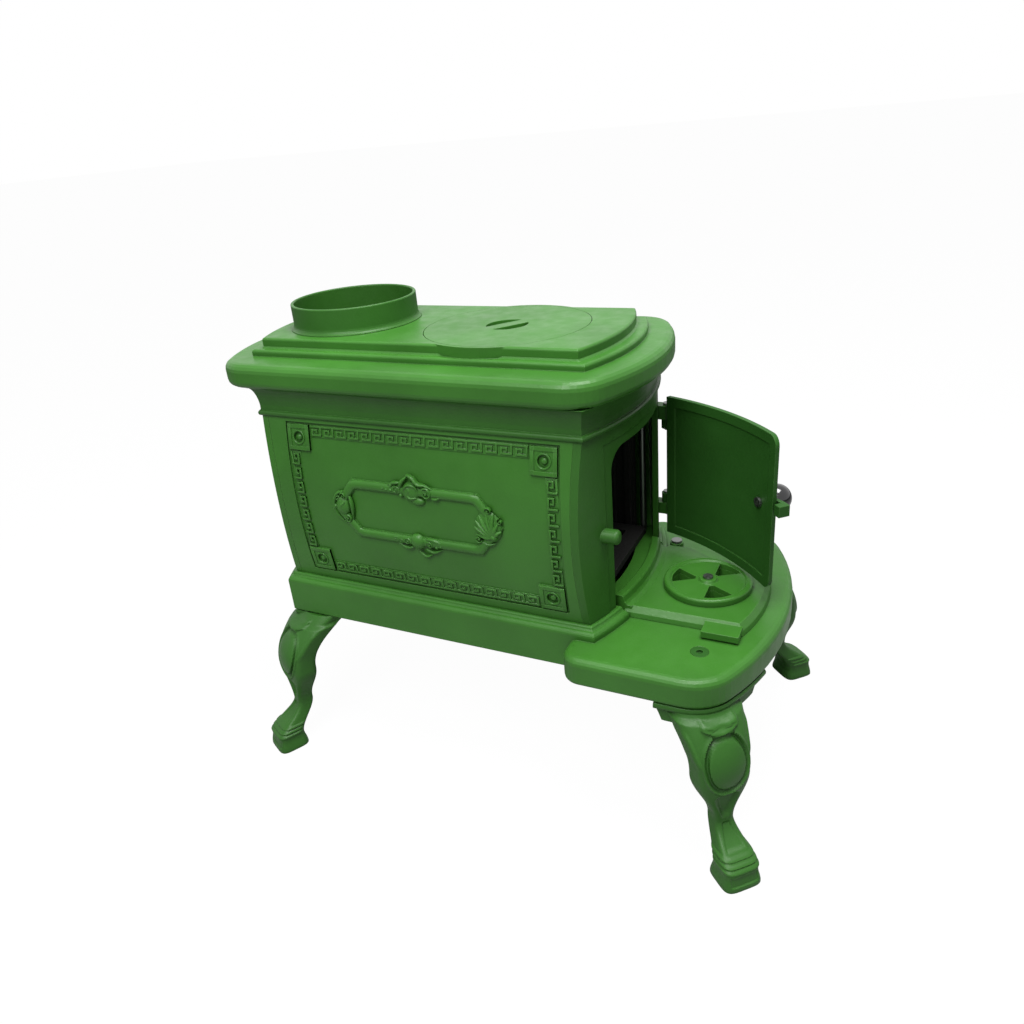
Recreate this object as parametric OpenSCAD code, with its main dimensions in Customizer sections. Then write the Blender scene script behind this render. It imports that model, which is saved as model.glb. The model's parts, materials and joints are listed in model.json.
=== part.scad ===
// Cast-iron box heating stove on four cabriole legs: a bowed fire box with a
// cook lid and a flue collar on top, and a fire door over a deep front hearth.
// Millimetres. +Z is up, the hearth and the door look along -Y, and the origin
// lies on the floor at the middle of the overall length and width.

/* [Levels] */
// Height of the hearth's underside above the floor
leg_height = 199; // [160:1:260]
// Thickness of the hearth slab
hearth_t = 35; // [28:1:45]
// Height of the stepped plinth between the hearth and the fire box
plinth_h = 16; // [14:0.5:24]
// Height of the fire box walls
body_h = 224; // [200:1:280]
// Height of the bead at the foot of the cornice
bead_h = 7; // [5:0.5:10]
// Height of the cornice's hollow
cove_h = 30.5; // [20:0.5:40]
// Height of the rounded rim of the top
rim_h = 30; // [22:0.5:40]
// Height of the lower step on the top
step_h = 8; // [5:0.5:12]
// Height of the raised panel above the lower step
panel_h = 12.5; // [9:0.5:18]

/* [Fire box] */
// Width across the fire box at its top and bottom edges
body_w = 265; // [250:1:300]
// Length from the front corners to the back corners
body_l = 427; // [390:1:480]
// Plan radius of the bowed front and back walls
bow_r = 325; // [300:1:400]
// How far each side wall swells out at mid height
side_swell = 11; // [6:0.5:16]
// Thickness of the side walls
wall = 6; // [5:0.5:8]
// Thickness of the front and back plates
plate_t = 8; // [6:0.5:10]
// How far the plinth stands out from the fire box
plinth_out = 12; // [9:0.5:16]

/* [Top] */
// How far the rim stands out from the sides of the fire box
rim_side = 16.5; // [13:0.5:24]
// How far the rim stands out in front of the fire box
rim_front = 24; // [18:0.5:32]
// How far the rim stands out behind the fire box
rim_back = 51; // [36:0.5:60]
// Plan radius of the rim's corners
rim_corner_r = 48; // [30:1:60]
// Plan radius of the rim's bowed ends
rim_bow_r = 275; // [240:1:340]
// Width of the raised panel
panel_w = 194; // [190:1:220]
// How far the raised panel's front corners stand behind the fire box's
panel_front = 13.5; // [8:0.5:18]
// How far the raised panel's back corners lie outside those of the fire box
panel_back = 8; // [0:0.5:14]
// Plan radius of the raised panel's ends
panel_bow_r = 250; // [244:2:320]
// How far the cornice flares out under the rim
cove_out = 10.5; // [7:0.5:12]
// Diameter of the cook lid
cook_lid_d = 200; // [160:1:204]
// Distance of the cook lid's centre behind the front corners
cook_lid_y = 141; // [130:1:150]

/* [Flue] */
// Inside diameter of the flue collar, for a 150 mm stovepipe
flue_d = 152; // [120:1:156]
// Wall of the flue collar
flue_wall = 4; // [3:0.5:6]
// Height of the flue collar above the panel
flue_h = 32; // [24:1:50]
// Distance of the collar's centre in front of the back corners
flue_y = 69; // [64:1:90]

/* [Hearth] */
// Distance from the front corners of the fire box to the front of the hearth
hearth_l = 200; // [190:1:230]
// Width of the hearth
hearth_w = 364; // [340:1:400]
// Plan radius of the hearth's bowed front edge
hearth_bow_r = 340; // [300:1:500]
// Plan radius of the hearth's front corners
hearth_corner_r = 54; // [40:1:70]
// How far the hearth's wings reach back beside the fire box
wing_l = 23; // [15:1:40]
// Wall of the hollow base casting
base_wall = 8; // [6:0.5:10]

/* [Doors] */
// Width of the fire door opening
opening_w = 176; // [160:1:180]
// Height of the fire door opening
opening_h = 199; // [185:1:205]
// Radius of the opening's top corners
opening_r = 26; // [15:1:40]
// Thickness of the fire door's leaf
door_t = 5.5; // [4.5:0.5:7]
// Angle from the closed door to the door as it stands at rest
door_rest = 53; // [0:0.5:110]
// Distance of the door's hinge pins from the middle
hinge_x = 105; // [103:0.5:110]
// Diameter of the hinge pins
hinge_pin_d = 6; // [5:0.5:8]
// Diameter of the catch peg
peg_d = 17.5; // [14:0.5:20]
// Diameter of the door knob
knob_d = 33.5; // [28:0.5:36]
// Thickness of the ash lid
ash_lid_t = 12.7; // [10:0.1:14]
// Diameter of the draft wheel
draft_d = 106; // [90:1:112]
// Thickness of the draft wheel
draft_t = 8.7; // [6:0.1:9]

/* [Legs] */
// How far the plinth's skirt hangs below the hearth's underside
skirt_drop = 6; // [2:0.5:8]
// Distance of the front legs' axes from the middle, across
leg_front_x = 173; // [168:1:176]
// Distance of the front legs' axes in front of the fire box corners
leg_front_y = 158; // [154:1:162]
// Direction of the front feet, from straight across towards the front
leg_front_angle = 45; // [35:1:55]
// Distance of the rear legs' axes from the middle, across
leg_rear_x = 164; // [160:1:168]
// Distance of the rear legs' axes behind the fire box's back corners
leg_rear_y = 2; // [-2:1:5]
// Direction of the rear feet, from straight across towards the back
leg_rear_angle = 28; // [20:1:40]
// How far a foot reaches out from the leg's axis
foot_reach = 57; // [50:1:60]
// Length of a foot in its own direction
toe_d = 38; // [32:1:44]
// Width of a foot
toe_w = 42; // [36:1:48]
// Height at which a foot rises from its sole's ridge
toe_h = 18; // [12:1:26]
// How far the sole's ridge stands out all round
sole_ridge = 3; // [1:0.5:4]
// How far the ankle's front lies out from the leg's axis
ankle_out = 16.5; // [12:0.5:20]
// Depth of the ankle
ankle_d = 22; // [18:0.5:28]
// Width of the ankle
ankle_w = 24; // [20:0.5:30]
// Height of the ankle
ankle_h = 63; // [54:1:72]
// How far the knee's front lies out from the leg's axis
knee_out = 21; // [16:0.5:25]
// Depth of the knee
knee_d = 35; // [30:1:40]
// Width of the knee
knee_w = 64; // [56:1:70]
// Height of the knee
knee_h = 120; // [110:1:130]
// Depth of a leg's top
hip_d = 40; // [36:1:44]
// Width of a leg's top
hip_w = 92; // [84:1:104]

/* [Inside] */
// Thickness of the fire box liners
liner_t = 10; // [8:0.5:14]
// Thickness of the grate
grate_t = 9; // [7:0.5:12]
// Diameter of the tie rods
rod_d = 8; // [6:0.5:9]

/* [Fits] */
// Gap between neighbouring castings
seam = 0.3; // [0.2:0.05:0.5]
// Radial clearance of running pins
run_fit = 0.05; // [0.02:0.01:0.1]

/* [Hidden] */
$fn = 64;
arc_fn = 360;
far = 1000;

paint = [0.20, 0.45, 0.13];
paint_dark = [0.10, 0.26, 0.08];
iron = [0.12, 0.12, 0.12];
steel = [0.45, 0.46, 0.46];
black_ball = [0.04, 0.04, 0.045];

// Levels, from the floor up
z_base = leg_height;
z_plinth = z_base - skirt_drop;
z_hearth = z_base + hearth_t;
z_body = z_hearth + plinth_h;
z_top = z_body + body_h;
z_cove = z_top + bead_h;
z_rim = z_cove + cove_h;
z_step = z_rim + rim_h;
z_panel_foot = z_step + step_h;
z_panel = z_panel_foot + panel_h;

// Leg sections are ovals squared off by this power
squareness = 0.45;

// Plan of the fire box, with the overall length centred on the origin
body_hw = body_w / 2;
bow_sag = bow_r - sqrt(bow_r * bow_r - body_hw * body_hw);
toe_tip = leg_front_y + (foot_reach - toe_d / 2) * sin(leg_front_angle)
    + reach_of(toe_d / 2 + sole_ridge, toe_w / 2 + sole_ridge, leg_front_angle);
overall_l = toe_tip + body_l + bow_sag + rim_back;
front_y = -overall_l / 2 + toe_tip;
back_y = front_y + body_l;
front_cy = front_y - bow_sag + bow_r;
back_cy = back_y + bow_sag - bow_r;
swell_r = (pow(body_h / 2, 2) + pow(side_swell, 2)) / (2 * side_swell);
swell_cx = body_hw + side_swell - swell_r;
swell_cz = z_body + body_h / 2;
pin_r = hinge_pin_d / 2;

// How far a squared oval of half sizes hd and hw extends when it is turned by a
function reach_of(hd, hw, a) = let (q = 2 / (2 - squareness))
    pow(pow(hd * abs(sin(a)), q) + pow(hw * abs(cos(a)), q), 1 / q);

// y of a bowed front surface of radius r at x
function front_at(r, x) = front_cy - sqrt(r * r - x * x);
function back_at(r, x) = back_cy + sqrt(r * r - x * x);
function arc(r, a0, a1, n, c = [0, 0]) =
    [for (i = [0:n]) let (a = a0 + (a1 - a0) * i / n) c + r * [cos(a), sin(a)]];

// ---- shared shapes ------------------------------------------------------

// Everything inside the swelled side walls, moved in by inset
module swell(inset) {
    rotate([90, 0, 0]) translate([0, 0, -far]) linear_extrude(2 * far)
        intersection() {
            translate([swell_cx, swell_cz]) circle(swell_r - inset, $fn = arc_fn);
            translate([-swell_cx, swell_cz]) circle(swell_r - inset, $fn = arc_fn);
        }
}

// Plan between the bowed front and back, moved in by inset
module bowed_2d(inset, hw = far) {
    intersection() {
        translate([0, front_cy]) circle(bow_r - inset, $fn = arc_fn);
        translate([0, back_cy]) circle(bow_r - inset, $fn = arc_fn);
        translate([-hw, -far]) square([2 * hw, 2 * far]);
    }
}

// Block between two levels, swelled at the sides and bowed at the ends
module body_block(side_inset, end_inset, z0, z1) {
    intersection() {
        swell(side_inset);
        translate([0, 0, z0]) linear_extrude(z1 - z0) bowed_2d(end_inset);
    }
}

// Moulded block: profile points are [how far out, z], outside point first,
// listed upwards. side_hw and end_r are the faces that "out" is counted from.
module moulded(profile, side_hw, end_r, cy_front, cy_back) {
    z0 = profile[0][1];
    z1 = profile[len(profile) - 1][1];
    intersection() {
        rotate([90, 0, 0]) translate([0, 0, -far]) linear_extrude(2 * far)
            polygon(concat(
                [for (p = profile) [side_hw + p[0], p[1]]],
                [for (i = [len(profile) - 1:-1:0]) [-side_hw - profile[i][0], profile[i][1]]]));
        for_each_end(cy_front, cy_back) rotate_extrude($fn = arc_fn)
            polygon(concat([[0, z0]], [for (p = profile) [end_r + p[0], p[1]]], [[0, z1]]));
    }
}
module for_each_end(cy_front, cy_back) {
    intersection() {
        translate([0, cy_front]) children();
        translate([0, cy_back]) children();
    }
}

// Plan outline with straight sides, bowed ends and rounded corners. Each end is
// [y at the middle, bow radius, corner radius], and inset moves it all inwards.
function quarter(hw, reach, r_bow, r_c, inset, n_bow, n_c) =
    let (cx = hw - r_c, cy = reach - r_bow + sqrt(pow(r_bow - r_c, 2) - cx * cx),
         lean = asin(cx / (r_bow - r_c)))
    concat(arc(r_c - inset, 0, 90 - lean, n_c, [cx, cy]),
           [for (i = [1:n_bow - 1]) let (a = 90 - lean + lean * i / n_bow)
               [0, reach - r_bow] + (r_bow - inset) * [cos(a), sin(a)]]);
function reversed(list) = [for (i = [len(list) - 1:-1:0]) list[i]];
function outline(hw, front, back, inset, n_bow = 8, n_c = 7) =
    let (b = quarter(hw, back[0], back[1], back[2], inset, n_bow, n_c),
         f = quarter(hw, -front[0], front[1], front[2], inset, n_bow, n_c))
    concat(b, [[0, back[0] - inset]], reversed([for (p = b) [-p[0], p[1]]]),
           [for (p = f) [-p[0], -p[1]]], [[0, front[0] + inset]],
           reversed([for (p = f) [p[0], -p[1]]]));

// Solid through rings of equally many points, lowest ring first
module loft(rings) {
    n = len(rings[0]);
    m = len(rings);
    polyhedron(
        points = [for (ring = rings) each ring],
        faces = concat(
            [[for (i = [0:n - 1]) i]],
            [[for (i = [n - 1:-1:0]) (m - 1) * n + i]],
            [for (k = [0:m - 2], i = [0:n - 1]) let (j = (i + 1) % n, a = k * n)
                [a + i, a + n + i, a + n + j]],
            [for (k = [0:m - 2], i = [0:n - 1]) let (j = (i + 1) % n, a = k * n)
                [a + i, a + n + j, a + j]]));
}
function at_z(points, z) = [for (p = points) [p[0], p[1], z]];

// Slab with a rounded edge: [inset, z] pairs, lowest first
function round_edge(z0, z1, r_low, r_up, n) = concat(
    [for (i = [0:n]) let (a = 90 * i / n) [r_low * (1 - sin(a)), z0 + r_low * (1 - cos(a))]],
    [for (i = [0:n]) let (a = 90 * i / n) [r_up * (1 - cos(a)), z1 - r_up * (1 - sin(a))]]);

module mirrored_x() { children(); mirror([1, 0, 0]) children(); }

// ---- base ---------------------------------------------------------------

hearth_front = front_y - hearth_l;
hearth_hw = hearth_w / 2;
wing_back = front_y + wing_l;
wing_r = 22;
straight_r = 20000;
plinth_step = 4;
flange_w = 30;
flange_t = 8;
pit_floor = z_base + base_wall;
plate_under = z_hearth - base_wall;
channel_hw = 60;
channel_front = hearth_front + 45;
pit_hw = body_hw + plinth_out - base_wall;
pit_end = plinth_out - base_wall;
ash_mouth_back = front_y - 47;

// Two rounded steps over an upright fascia
plinth_profile = concat(
    [[plinth_out - 2, z_plinth], [plinth_out, z_plinth + 2]],
    [for (i = [0:4]) let (a = 22.5 * i)
        [plinth_out - 6 + 6 * cos(a), z_hearth + plinth_h - plinth_step - 7 + 6 * sin(a)]],
    [for (i = [0:4]) let (a = 22.5 * i)
        [plinth_step + 0.5 - 3 + 3 * cos(a), z_body - 3 + 3 * sin(a)]]);

// What the ash lid's upright back edge needs: all that lies in front of the sill
module lid_notch() {
    x0 = lid_x0 - 4;
    x1 = upstand_x1 + 6;
    translate([x0, front_y - far, z_hearth]) difference() {
        cube([x1 - x0, far + body_hw, plinth_h + 1]);
        translate([-x0, front_cy - front_y + far, -1])
            cylinder(h = plinth_h + 3, r = upstand_r0 - seam - 0.2, $fn = arc_fn);
    }
}

module hearth_base() {
    color(paint) difference() {
        union() {
            loft([for (e = round_edge(z_base, z_hearth, 5, 9, 4))
                at_z(outline(hearth_hw, [hearth_front, hearth_bow_r, hearth_corner_r],
                             [wing_back, straight_r, wing_r], e[0]), e[1])]);
            moulded(plinth_profile, body_hw, bow_r, front_cy, back_cy);
        }
        // ash pit, open to the fire box above
        translate([0, 0, pit_floor]) linear_extrude(z_body - flange_t - pit_floor)
            bowed_2d(-pit_end, pit_hw);
        translate([0, 0, z_body - flange_t - 1]) linear_extrude(flange_t + 2)
            bowed_2d(flange_w, body_hw - flange_w);
        // channel under the ash lid
        translate([-channel_hw, channel_front, pit_floor])
            cube([2 * channel_hw, front_y - channel_front, plate_under - pit_floor]);
        translate([-channel_hw, channel_front, plate_under - 1])
            cube([2 * channel_hw, ash_mouth_back - channel_front, base_wall + 2]);
        // hollows under the hearth beside the channel
        mirrored_x() hearth_pocket();
        lid_notch();
        for (p = hearth_screw_at) translate([p[0], p[1], z_base - 1]) {
            cylinder(h = hearth_t + 2, r = screw_r + 0.4);
            translate([0, 0, hearth_t + 1 - screw_head_t])
                cylinder(h = screw_head_t + 1, r = screw_head_r + 0.4);
        }
        for (p = rear_screw_at) translate([p[0], p[1], z_plinth - 1])
            cylinder(h = pit_floor - z_plinth + 2, r = screw_r + 0.4);
        for (p = rod_at) translate([p[0], p[1], z_body - flange_t - 1])
            cylinder(h = flange_t + 2, r = rod_d / 2 + 0.5);
        translate([pivot_x, pivot_y, z_base + 10]) cylinder(h = hearth_t, r = pivot_r + run_fit);
    }
}
module hearth_pocket() {
    x0 = channel_hw + base_wall;
    x1 = hearth_hw - base_wall - 8;
    y0 = hearth_front + 60;
    y1 = front_y - 52;
    difference() {
        translate([x0, y0, z_base - 1]) cube([x1 - x0, y1 - y0, plate_under - z_base + 1]);
        translate([hearth_screw_x, hearth_screw_y, z_base - 2])
            cylinder(h = hearth_t, r = screw_head_r + 6);
    }
}

// ---- fire box walls -----------------------------------------------------

field_depth = 2.5;
field_y0 = front_y + 24;
field_y1 = back_y - 36;
field_z0 = z_body + 12;
field_z1 = z_top - 5;
corner_sq = 32;
corner_in = 3;
cart_y = front_y + body_l / 2;
cart_z = z_body + 115;
cart_tip = 117;
cart_straight = 87;
cart_hh = 39;
cart_w = 12;

// Outline of the long cartouche: an octagon whose ends are brought to a nose
module cartouche_2d(grow) {
    polygon([
        [cart_tip + grow, 0], [cart_straight + 0.4 * grow, cart_hh + grow],
        [-cart_straight - 0.4 * grow, cart_hh + grow], [-cart_tip - grow, 0],
        [-cart_straight - 0.4 * grow, -cart_hh - grow],
        [cart_straight + 0.4 * grow, -cart_hh - grow]]);
}

// The sunk part of a side panel's field, in y and z
module sunk_2d() {
    difference() {
        translate([field_y0, field_z0]) square([field_y1 - field_y0, field_z1 - field_z0]);
        for (y = [field_y0 + corner_in, field_y1 - corner_in - corner_sq],
             z = [field_z0 + corner_in, field_z1 - corner_in - corner_sq])
            translate([y, z]) difference() {
                square(corner_sq);
                translate([corner_sq / 2, corner_sq / 2]) circle(8);
            }
        translate([cart_y, cart_z]) difference() {
            cartouche_2d(0);
            cartouche_2d(-cart_w);
        }
    }
}

// Left side panel, the one towards -X
module side_panel() {
    difference() {
        intersection() {
            body_block(0, plate_t + seam, z_body, z_top);
            translate([-far, -far, 0]) cube([far, 2 * far, far]);
        }
        swell(wall);
        difference() {
            rotate([90, 0, -90]) mirror([1, 0, 0]) linear_extrude(far) sunk_2d();
            swell(field_depth);
        }
    }
}
module side_panel_left() { color(paint) side_panel(); }
module side_panel_right() { color(paint) mirror([1, 0, 0]) side_panel(); }

pilaster_in = 101;
rebate_depth = 1;
rebate_z = z_body + opening_h + 12;
peg_x = pilaster_in + 3;
peg_z = z_body + 103;
peg_l = 18;
lug_r = 8;
hinge_y = front_at(bow_r, hinge_x) - 12;
lug_upper = [z_body + 170, z_body + 188];
lug_lower = [z_body + 37, z_body + 53];
eye_h = 12.5;
door_inner_r = bow_r + 1.5;

module opening_2d() {
    hw = opening_w / 2;
    translate([-hw, -1]) square([opening_w, opening_h - opening_r + 1]);
    translate([-hw + opening_r, 0]) square([opening_w - 2 * opening_r, opening_h]);
    for (s = [-1, 1]) translate([s * (hw - opening_r), opening_h - opening_r]) circle(opening_r);
}

module front_plate() {
    peg_front = front_at(bow_r, peg_x) - peg_l;
    color(paint) difference() {
        union() {
            intersection() {
                swell(0);
                translate([0, 0, z_body]) linear_extrude(body_h) difference() {
                    intersection() {
                        translate([0, front_cy]) circle(bow_r, $fn = arc_fn);
                        translate([-far, -far]) square([2 * far, far]);
                    }
                    translate([0, front_cy]) circle(bow_r - plate_t, $fn = arc_fn);
                }
            }
            translate([-peg_x, peg_front, peg_z]) rotate([-90, 0, 0]) catch_peg();
            for (z = [lug_upper, lug_lower]) translate([hinge_x, hinge_y, z[0]]) {
                cylinder(h = z[1] - z[0], r = lug_r);
                translate([-lug_r, 0, 0])
                    cube([2 * lug_r, front_at(bow_r, hinge_x) + 4 - hinge_y, z[1] - z[0]]);
            }
        }
        rotate([90, 0, 0]) translate([0, z_body, 0]) linear_extrude(far) opening_2d();
        // shallow seat round the opening for the door's edge
        difference() {
            translate([-pilaster_in, -far, z_body - 1]) cube([2 * pilaster_in, far, rebate_z - z_body]);
            translate([0, front_cy, 0]) cylinder(h = far, r = bow_r - rebate_depth, $fn = arc_fn);
            translate([hinge_x, hinge_y, 0]) cylinder(h = far, r = lug_r);
            translate([hinge_x - lug_r, hinge_y, 0]) cube([2 * lug_r, far, far]);
        }
        translate([hinge_x, hinge_y, z_body]) cylinder(h = body_h, r = pin_r + run_fit);
    }
}
// Peg with a rounded end, from its tip along +Z
module catch_peg() {
    r = peg_d / 2;
    round_r = 5;
    rotate_extrude() polygon(concat(
        [[0, 0]], [for (p = arc(round_r, -90, 0, 6, [r - round_r, round_r])) p],
        [[r, peg_l + 3], [0, peg_l + 3]]));
}

module back_plate() {
    margin = 26;
    color(paint) difference() {
        intersection() {
            swell(0);
            translate([0, 0, z_body]) linear_extrude(body_h) difference() {
                intersection() {
                    translate([0, back_cy]) circle(bow_r, $fn = arc_fn);
                    translate([-far, 0]) square([2 * far, far]);
                }
                translate([0, back_cy]) circle(bow_r - plate_t, $fn = arc_fn);
            }
        }
        difference() {
            translate([-body_hw + margin, 0, field_z0 + margin / 2])
                cube([body_w - 2 * margin, far, field_z1 - field_z0 - margin]);
            translate([0, back_cy, 0]) cylinder(h = far, r = bow_r - field_depth, $fn = arc_fn);
        }
    }
}

// ---- top ----------------------------------------------------------------

frame_wall = 9;
bead_out = 4;
cavity_hw = body_hw - frame_wall;

cornice_profile = concat(
    [for (i = [0:8]) let (a = -90 + 22.5 * i)
        [bead_out - bead_h / 2 + bead_h / 2 * cos(a), z_top + bead_h / 2 + bead_h / 2 * sin(a)]],
    [for (i = [1:7]) let (a = 90 * i / 7)
        [cove_out * (1 - cos(a)), z_cove + cove_h * sin(a)]]);

module top_frame() {
    color(paint) difference() {
        moulded(cornice_profile, body_hw, bow_r, front_cy, back_cy);
        translate([0, 0, z_top - 1]) linear_extrude(bead_h + cove_h + 2)
            bowed_2d(frame_wall, cavity_hw);
    }
}

top_t = 10;
rim_hw = body_hw + rim_side;
rim_front_y = front_y - bow_sag - rim_front;
rim_back_y = back_y + bow_sag + rim_back;
panel_hw = panel_w / 2;
panel_dip = sqrt(panel_bow_r * panel_bow_r - panel_hw * panel_hw);
panel_front_cy = front_y + panel_front + panel_dip;
panel_back_cy = back_y + panel_back - panel_dip;
step_out = 10.5;
step_out_end = 14;
cook_r = cook_lid_d / 2;
cook_y = front_y + cook_lid_y;
cook_t = 7;
cook_gap = 0.8;
seat_w = 9;
boss_wall = 5;
rod_boss = 7;
flue_r = flue_d / 2;
flue_out = flue_r + flue_wall;
collar_y = back_y - flue_y;

// Two steps, each with a rounded upper edge; out is the width of the ledge
function panel_profile(out) = concat(
    [[out, z_step - 1], [out, z_panel_foot - 3.5]],
    arc(3.5, 22.5, 90, 3, [out - 3.5, z_panel_foot - 3.5]),
    [[2, z_panel_foot], [0, z_panel_foot + 2]],
    arc(3, 0, 90, 4, [-3, z_panel - 3]));

module top_plate() {
    color(paint) difference() {
        union() {
            loft([for (e = round_edge(z_rim, z_step, 8, 10, 4))
                at_z(outline(rim_hw, [rim_front_y, rim_bow_r, rim_corner_r],
                             [rim_back_y, rim_bow_r, rim_corner_r], e[0]), e[1])]);
            stepped_panel();
            translate([0, cook_y, z_step - 1])
                cylinder(h = z_panel - z_step + 1, r = cook_r + boss_wall, $fn = 180);
        }
        // hollow underside, leaving bosses for the tie rods and the lid's seat
        difference() {
            union() {
                translate([0, 0, z_rim - 1]) linear_extrude(z_step - top_t - z_rim + 1)
                    bowed_2d(frame_wall, cavity_hw);
                translate([0, 0, z_rim - 1]) linear_extrude(z_panel - top_t - z_rim + 1)
                    panel_2d(-top_t);
            }
            for (p = rod_at) translate([p[0], p[1], z_rim - 2])
                cylinder(h = rim_h, r = rod_d / 2 + rod_boss);
            translate([0, cook_y, z_panel - cook_t - seat_w])
                cylinder(h = cook_t + seat_w, r = cook_r + boss_wall, $fn = 180);
        }
        translate([0, cook_y, z_panel - cook_t - 20]) cylinder(h = far, r = cook_r - seat_w, $fn = 180);
        translate([0, cook_y, z_panel - cook_t]) cylinder(h = far, r = cook_r + cook_gap, $fn = 180);
        translate([0, collar_y, z_rim]) cylinder(h = far, r = flue_out + 0.2, $fn = 128);
        for (p = rod_at) translate([p[0], p[1], z_rim - 1])
            cylinder(h = rod_top - z_rim + 2, r = rod_d / 2 + 0.3);
    }
}
module stepped_panel() {
    intersection() {
        rotate([90, 0, 0]) translate([0, 0, -far]) linear_extrude(2 * far) polygon(concat(
            [for (p = panel_profile(step_out)) [panel_hw + p[0], p[1]]],
            reversed([for (p = panel_profile(step_out)) [-panel_hw - p[0], p[1]]])));
        for_each_end(panel_front_cy, panel_back_cy) rotate_extrude($fn = arc_fn)
            polygon(concat([[0, z_step - 1]],
                [for (p = panel_profile(step_out_end)) [panel_bow_r + p[0], p[1]]],
                [[0, z_panel]]));
    }
}
// Plan of the raised panel, moved out by grow
module panel_2d(grow) {
    intersection() {
        translate([0, panel_front_cy]) circle(panel_bow_r + grow, $fn = arc_fn);
        translate([0, panel_back_cy]) circle(panel_bow_r + grow, $fn = arc_fn);
        translate([-panel_hw - grow, -far]) square([panel_w + 2 * grow, 2 * far]);
    }
}

module flue_collar() {
    spigot = top_t;
    color(paint) translate([0, collar_y, z_panel]) rotate_extrude($fn = 128) polygon(concat(
        [[flue_r, -spigot], [flue_out, -spigot], [flue_out, 0], [flue_out + 4, 0]],
        [for (i = [0:4]) let (a = 22.5 * i)
            [flue_out + 4 - 4 * sin(a), 1 + 6 * (1 - cos(a))]],
        arc(1.5, 0, 90, 3, [flue_out - 1.5, flue_h - 1.5]),
        arc(1.5, 90, 180, 3, [flue_r + 1.5, flue_h - 1.5])));
}

lifter_d = 51;
lifter_bar = 17;
lifter_turn = 37;
module cook_lid() {
    color(paint) translate([0, cook_y, z_panel - cook_t + seam]) difference() {
        cylinder(h = cook_t - seam, r = cook_r, $fn = 180);
        // round lifter pocket crossed by the bar that the lifter hooks under
        rotate(-lifter_turn) difference() {
            translate([0, 0, 2.5]) cylinder(h = cook_t, r = lifter_d / 2, $fn = 72);
            translate([-far, -lifter_bar / 2, 0]) cube([2 * far, lifter_bar, far]);
        }
    }
}

// ---- fire door ----------------------------------------------------------

door_out_r = door_inner_r + door_t;
door_free_x = -(opening_w / 2 + 4.5);
door_hinge_x = hinge_x - lug_r - 1;
door_z0 = z_body + 12.5;
door_z1 = z_body + opening_h + 3;
door_r = 12;
door_rim = 12;
door_pan = 1.5;
latch_x = door_free_x + 29;
latch_z = peg_z + 10;
latch_a = asin(latch_x / door_out_r);
latch_bar = 5;
latch_gap = 1;
spindle_r = 4;
eye_r = lug_r - 1;
eye_arm = 8;

// The door and what it carries are drawn shut, then swung to where they rest
module swung() {
    translate([hinge_x, hinge_y, 0]) rotate([0, 0, door_rest])
        translate([-hinge_x, -hinge_y, 0]) children();
}
// Seen along the latch rivet: +X towards the free edge, +Y up, +Z out of the door
module on_door() {
    translate([0, front_cy, latch_z]) rotate([0, 0, latch_a]) translate([0, -door_out_r, 0])
        rotate([90, 0, 0]) mirror([1, 0, 0]) children();
}

module leaf_2d(inset) {
    x0 = door_free_x + inset;
    x1 = door_hinge_x - inset;
    z0 = door_z0 + inset;
    z1 = door_z1 - inset;
    r = max(door_r - inset, 3);
    translate([x0 + r, z0]) square([x1 - x0 - r, z1 - z0]);
    translate([x0, z0 + r]) square([r + 1, z1 - z0 - 2 * r]);
    for (z = [z0 + r, z1 - r]) translate([x0 + r, z]) circle(r);
}
module leaf_cut(inset) { rotate([90, 0, 0]) linear_extrude(far) leaf_2d(inset); }

module fire_door() {
    upper_eye = lug_upper[0] - seam - eye_h;
    lower_eye = lug_lower[1] + seam;
    color(paint_dark) swung() difference() {
        union() {
            intersection() {
                leaf_cut(0);
                translate([0, front_cy, 0]) difference() {
                    cylinder(h = far, r = door_out_r, $fn = arc_fn);
                    translate([0, 0, -1]) cylinder(h = far + 2, r = door_inner_r, $fn = arc_fn);
                }
            }
            for (z = [upper_eye, lower_eye]) translate([hinge_x, hinge_y, z]) {
                cylinder(h = eye_h, r = eye_r);
                translate([-lug_r - eye_arm, -eye_r, 0]) cube([lug_r + eye_arm, eye_r, eye_h]);
                // the arm's root goes half way into the leaf
                translate([-lug_r - eye_arm, -eye_r, 0]) cube([eye_arm - 1,
                    front_at(door_inner_r + door_t / 2, door_hinge_x) - hinge_y + eye_r, eye_h]);
            }
            on_door() translate([0, 0, -2]) cylinder(h = latch_gap + 2, r = spindle_r + 4);
        }
        // shallow pan inside the door's edge
        intersection() {
            leaf_cut(door_rim);
            translate([0, front_cy, 0]) cylinder(h = far, r = door_inner_r + door_pan, $fn = arc_fn);
        }
        translate([hinge_x, hinge_y, 0]) cylinder(h = far, r = pin_r + run_fit);
        on_door() translate([0, 0, -20]) cylinder(h = 30, r = spindle_r + run_fit);
    }
}

module door_hinge_pins() {
    upper = [lug_upper[0] - eye_h - 3, lug_upper[1]];
    lower = [lug_lower[0] - 3, lug_lower[1] + eye_h];
    color(steel) for (z = [upper, lower])
        translate([hinge_x, hinge_y, z[0]]) {
            cylinder(h = z[1] - z[0] + 1, r = pin_r);
            translate([0, 0, z[1] - z[0] + seam]) cylinder(h = 2.5, r = pin_r + 2);
        }
}

latch_clear = 5.6;
latch_claw = 9.4;
latch_u0 = latch_x - door_free_x + latch_clear;
latch_depth = 7;
latch_low = peg_z + peg_d / 2 + seam - latch_z;
latch_high = latch_low + 13;
knob_base = latch_gap + 2 * seam + latch_bar;
knob_n = knob_base + 12;
spindle_in_knob = 16;
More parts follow.
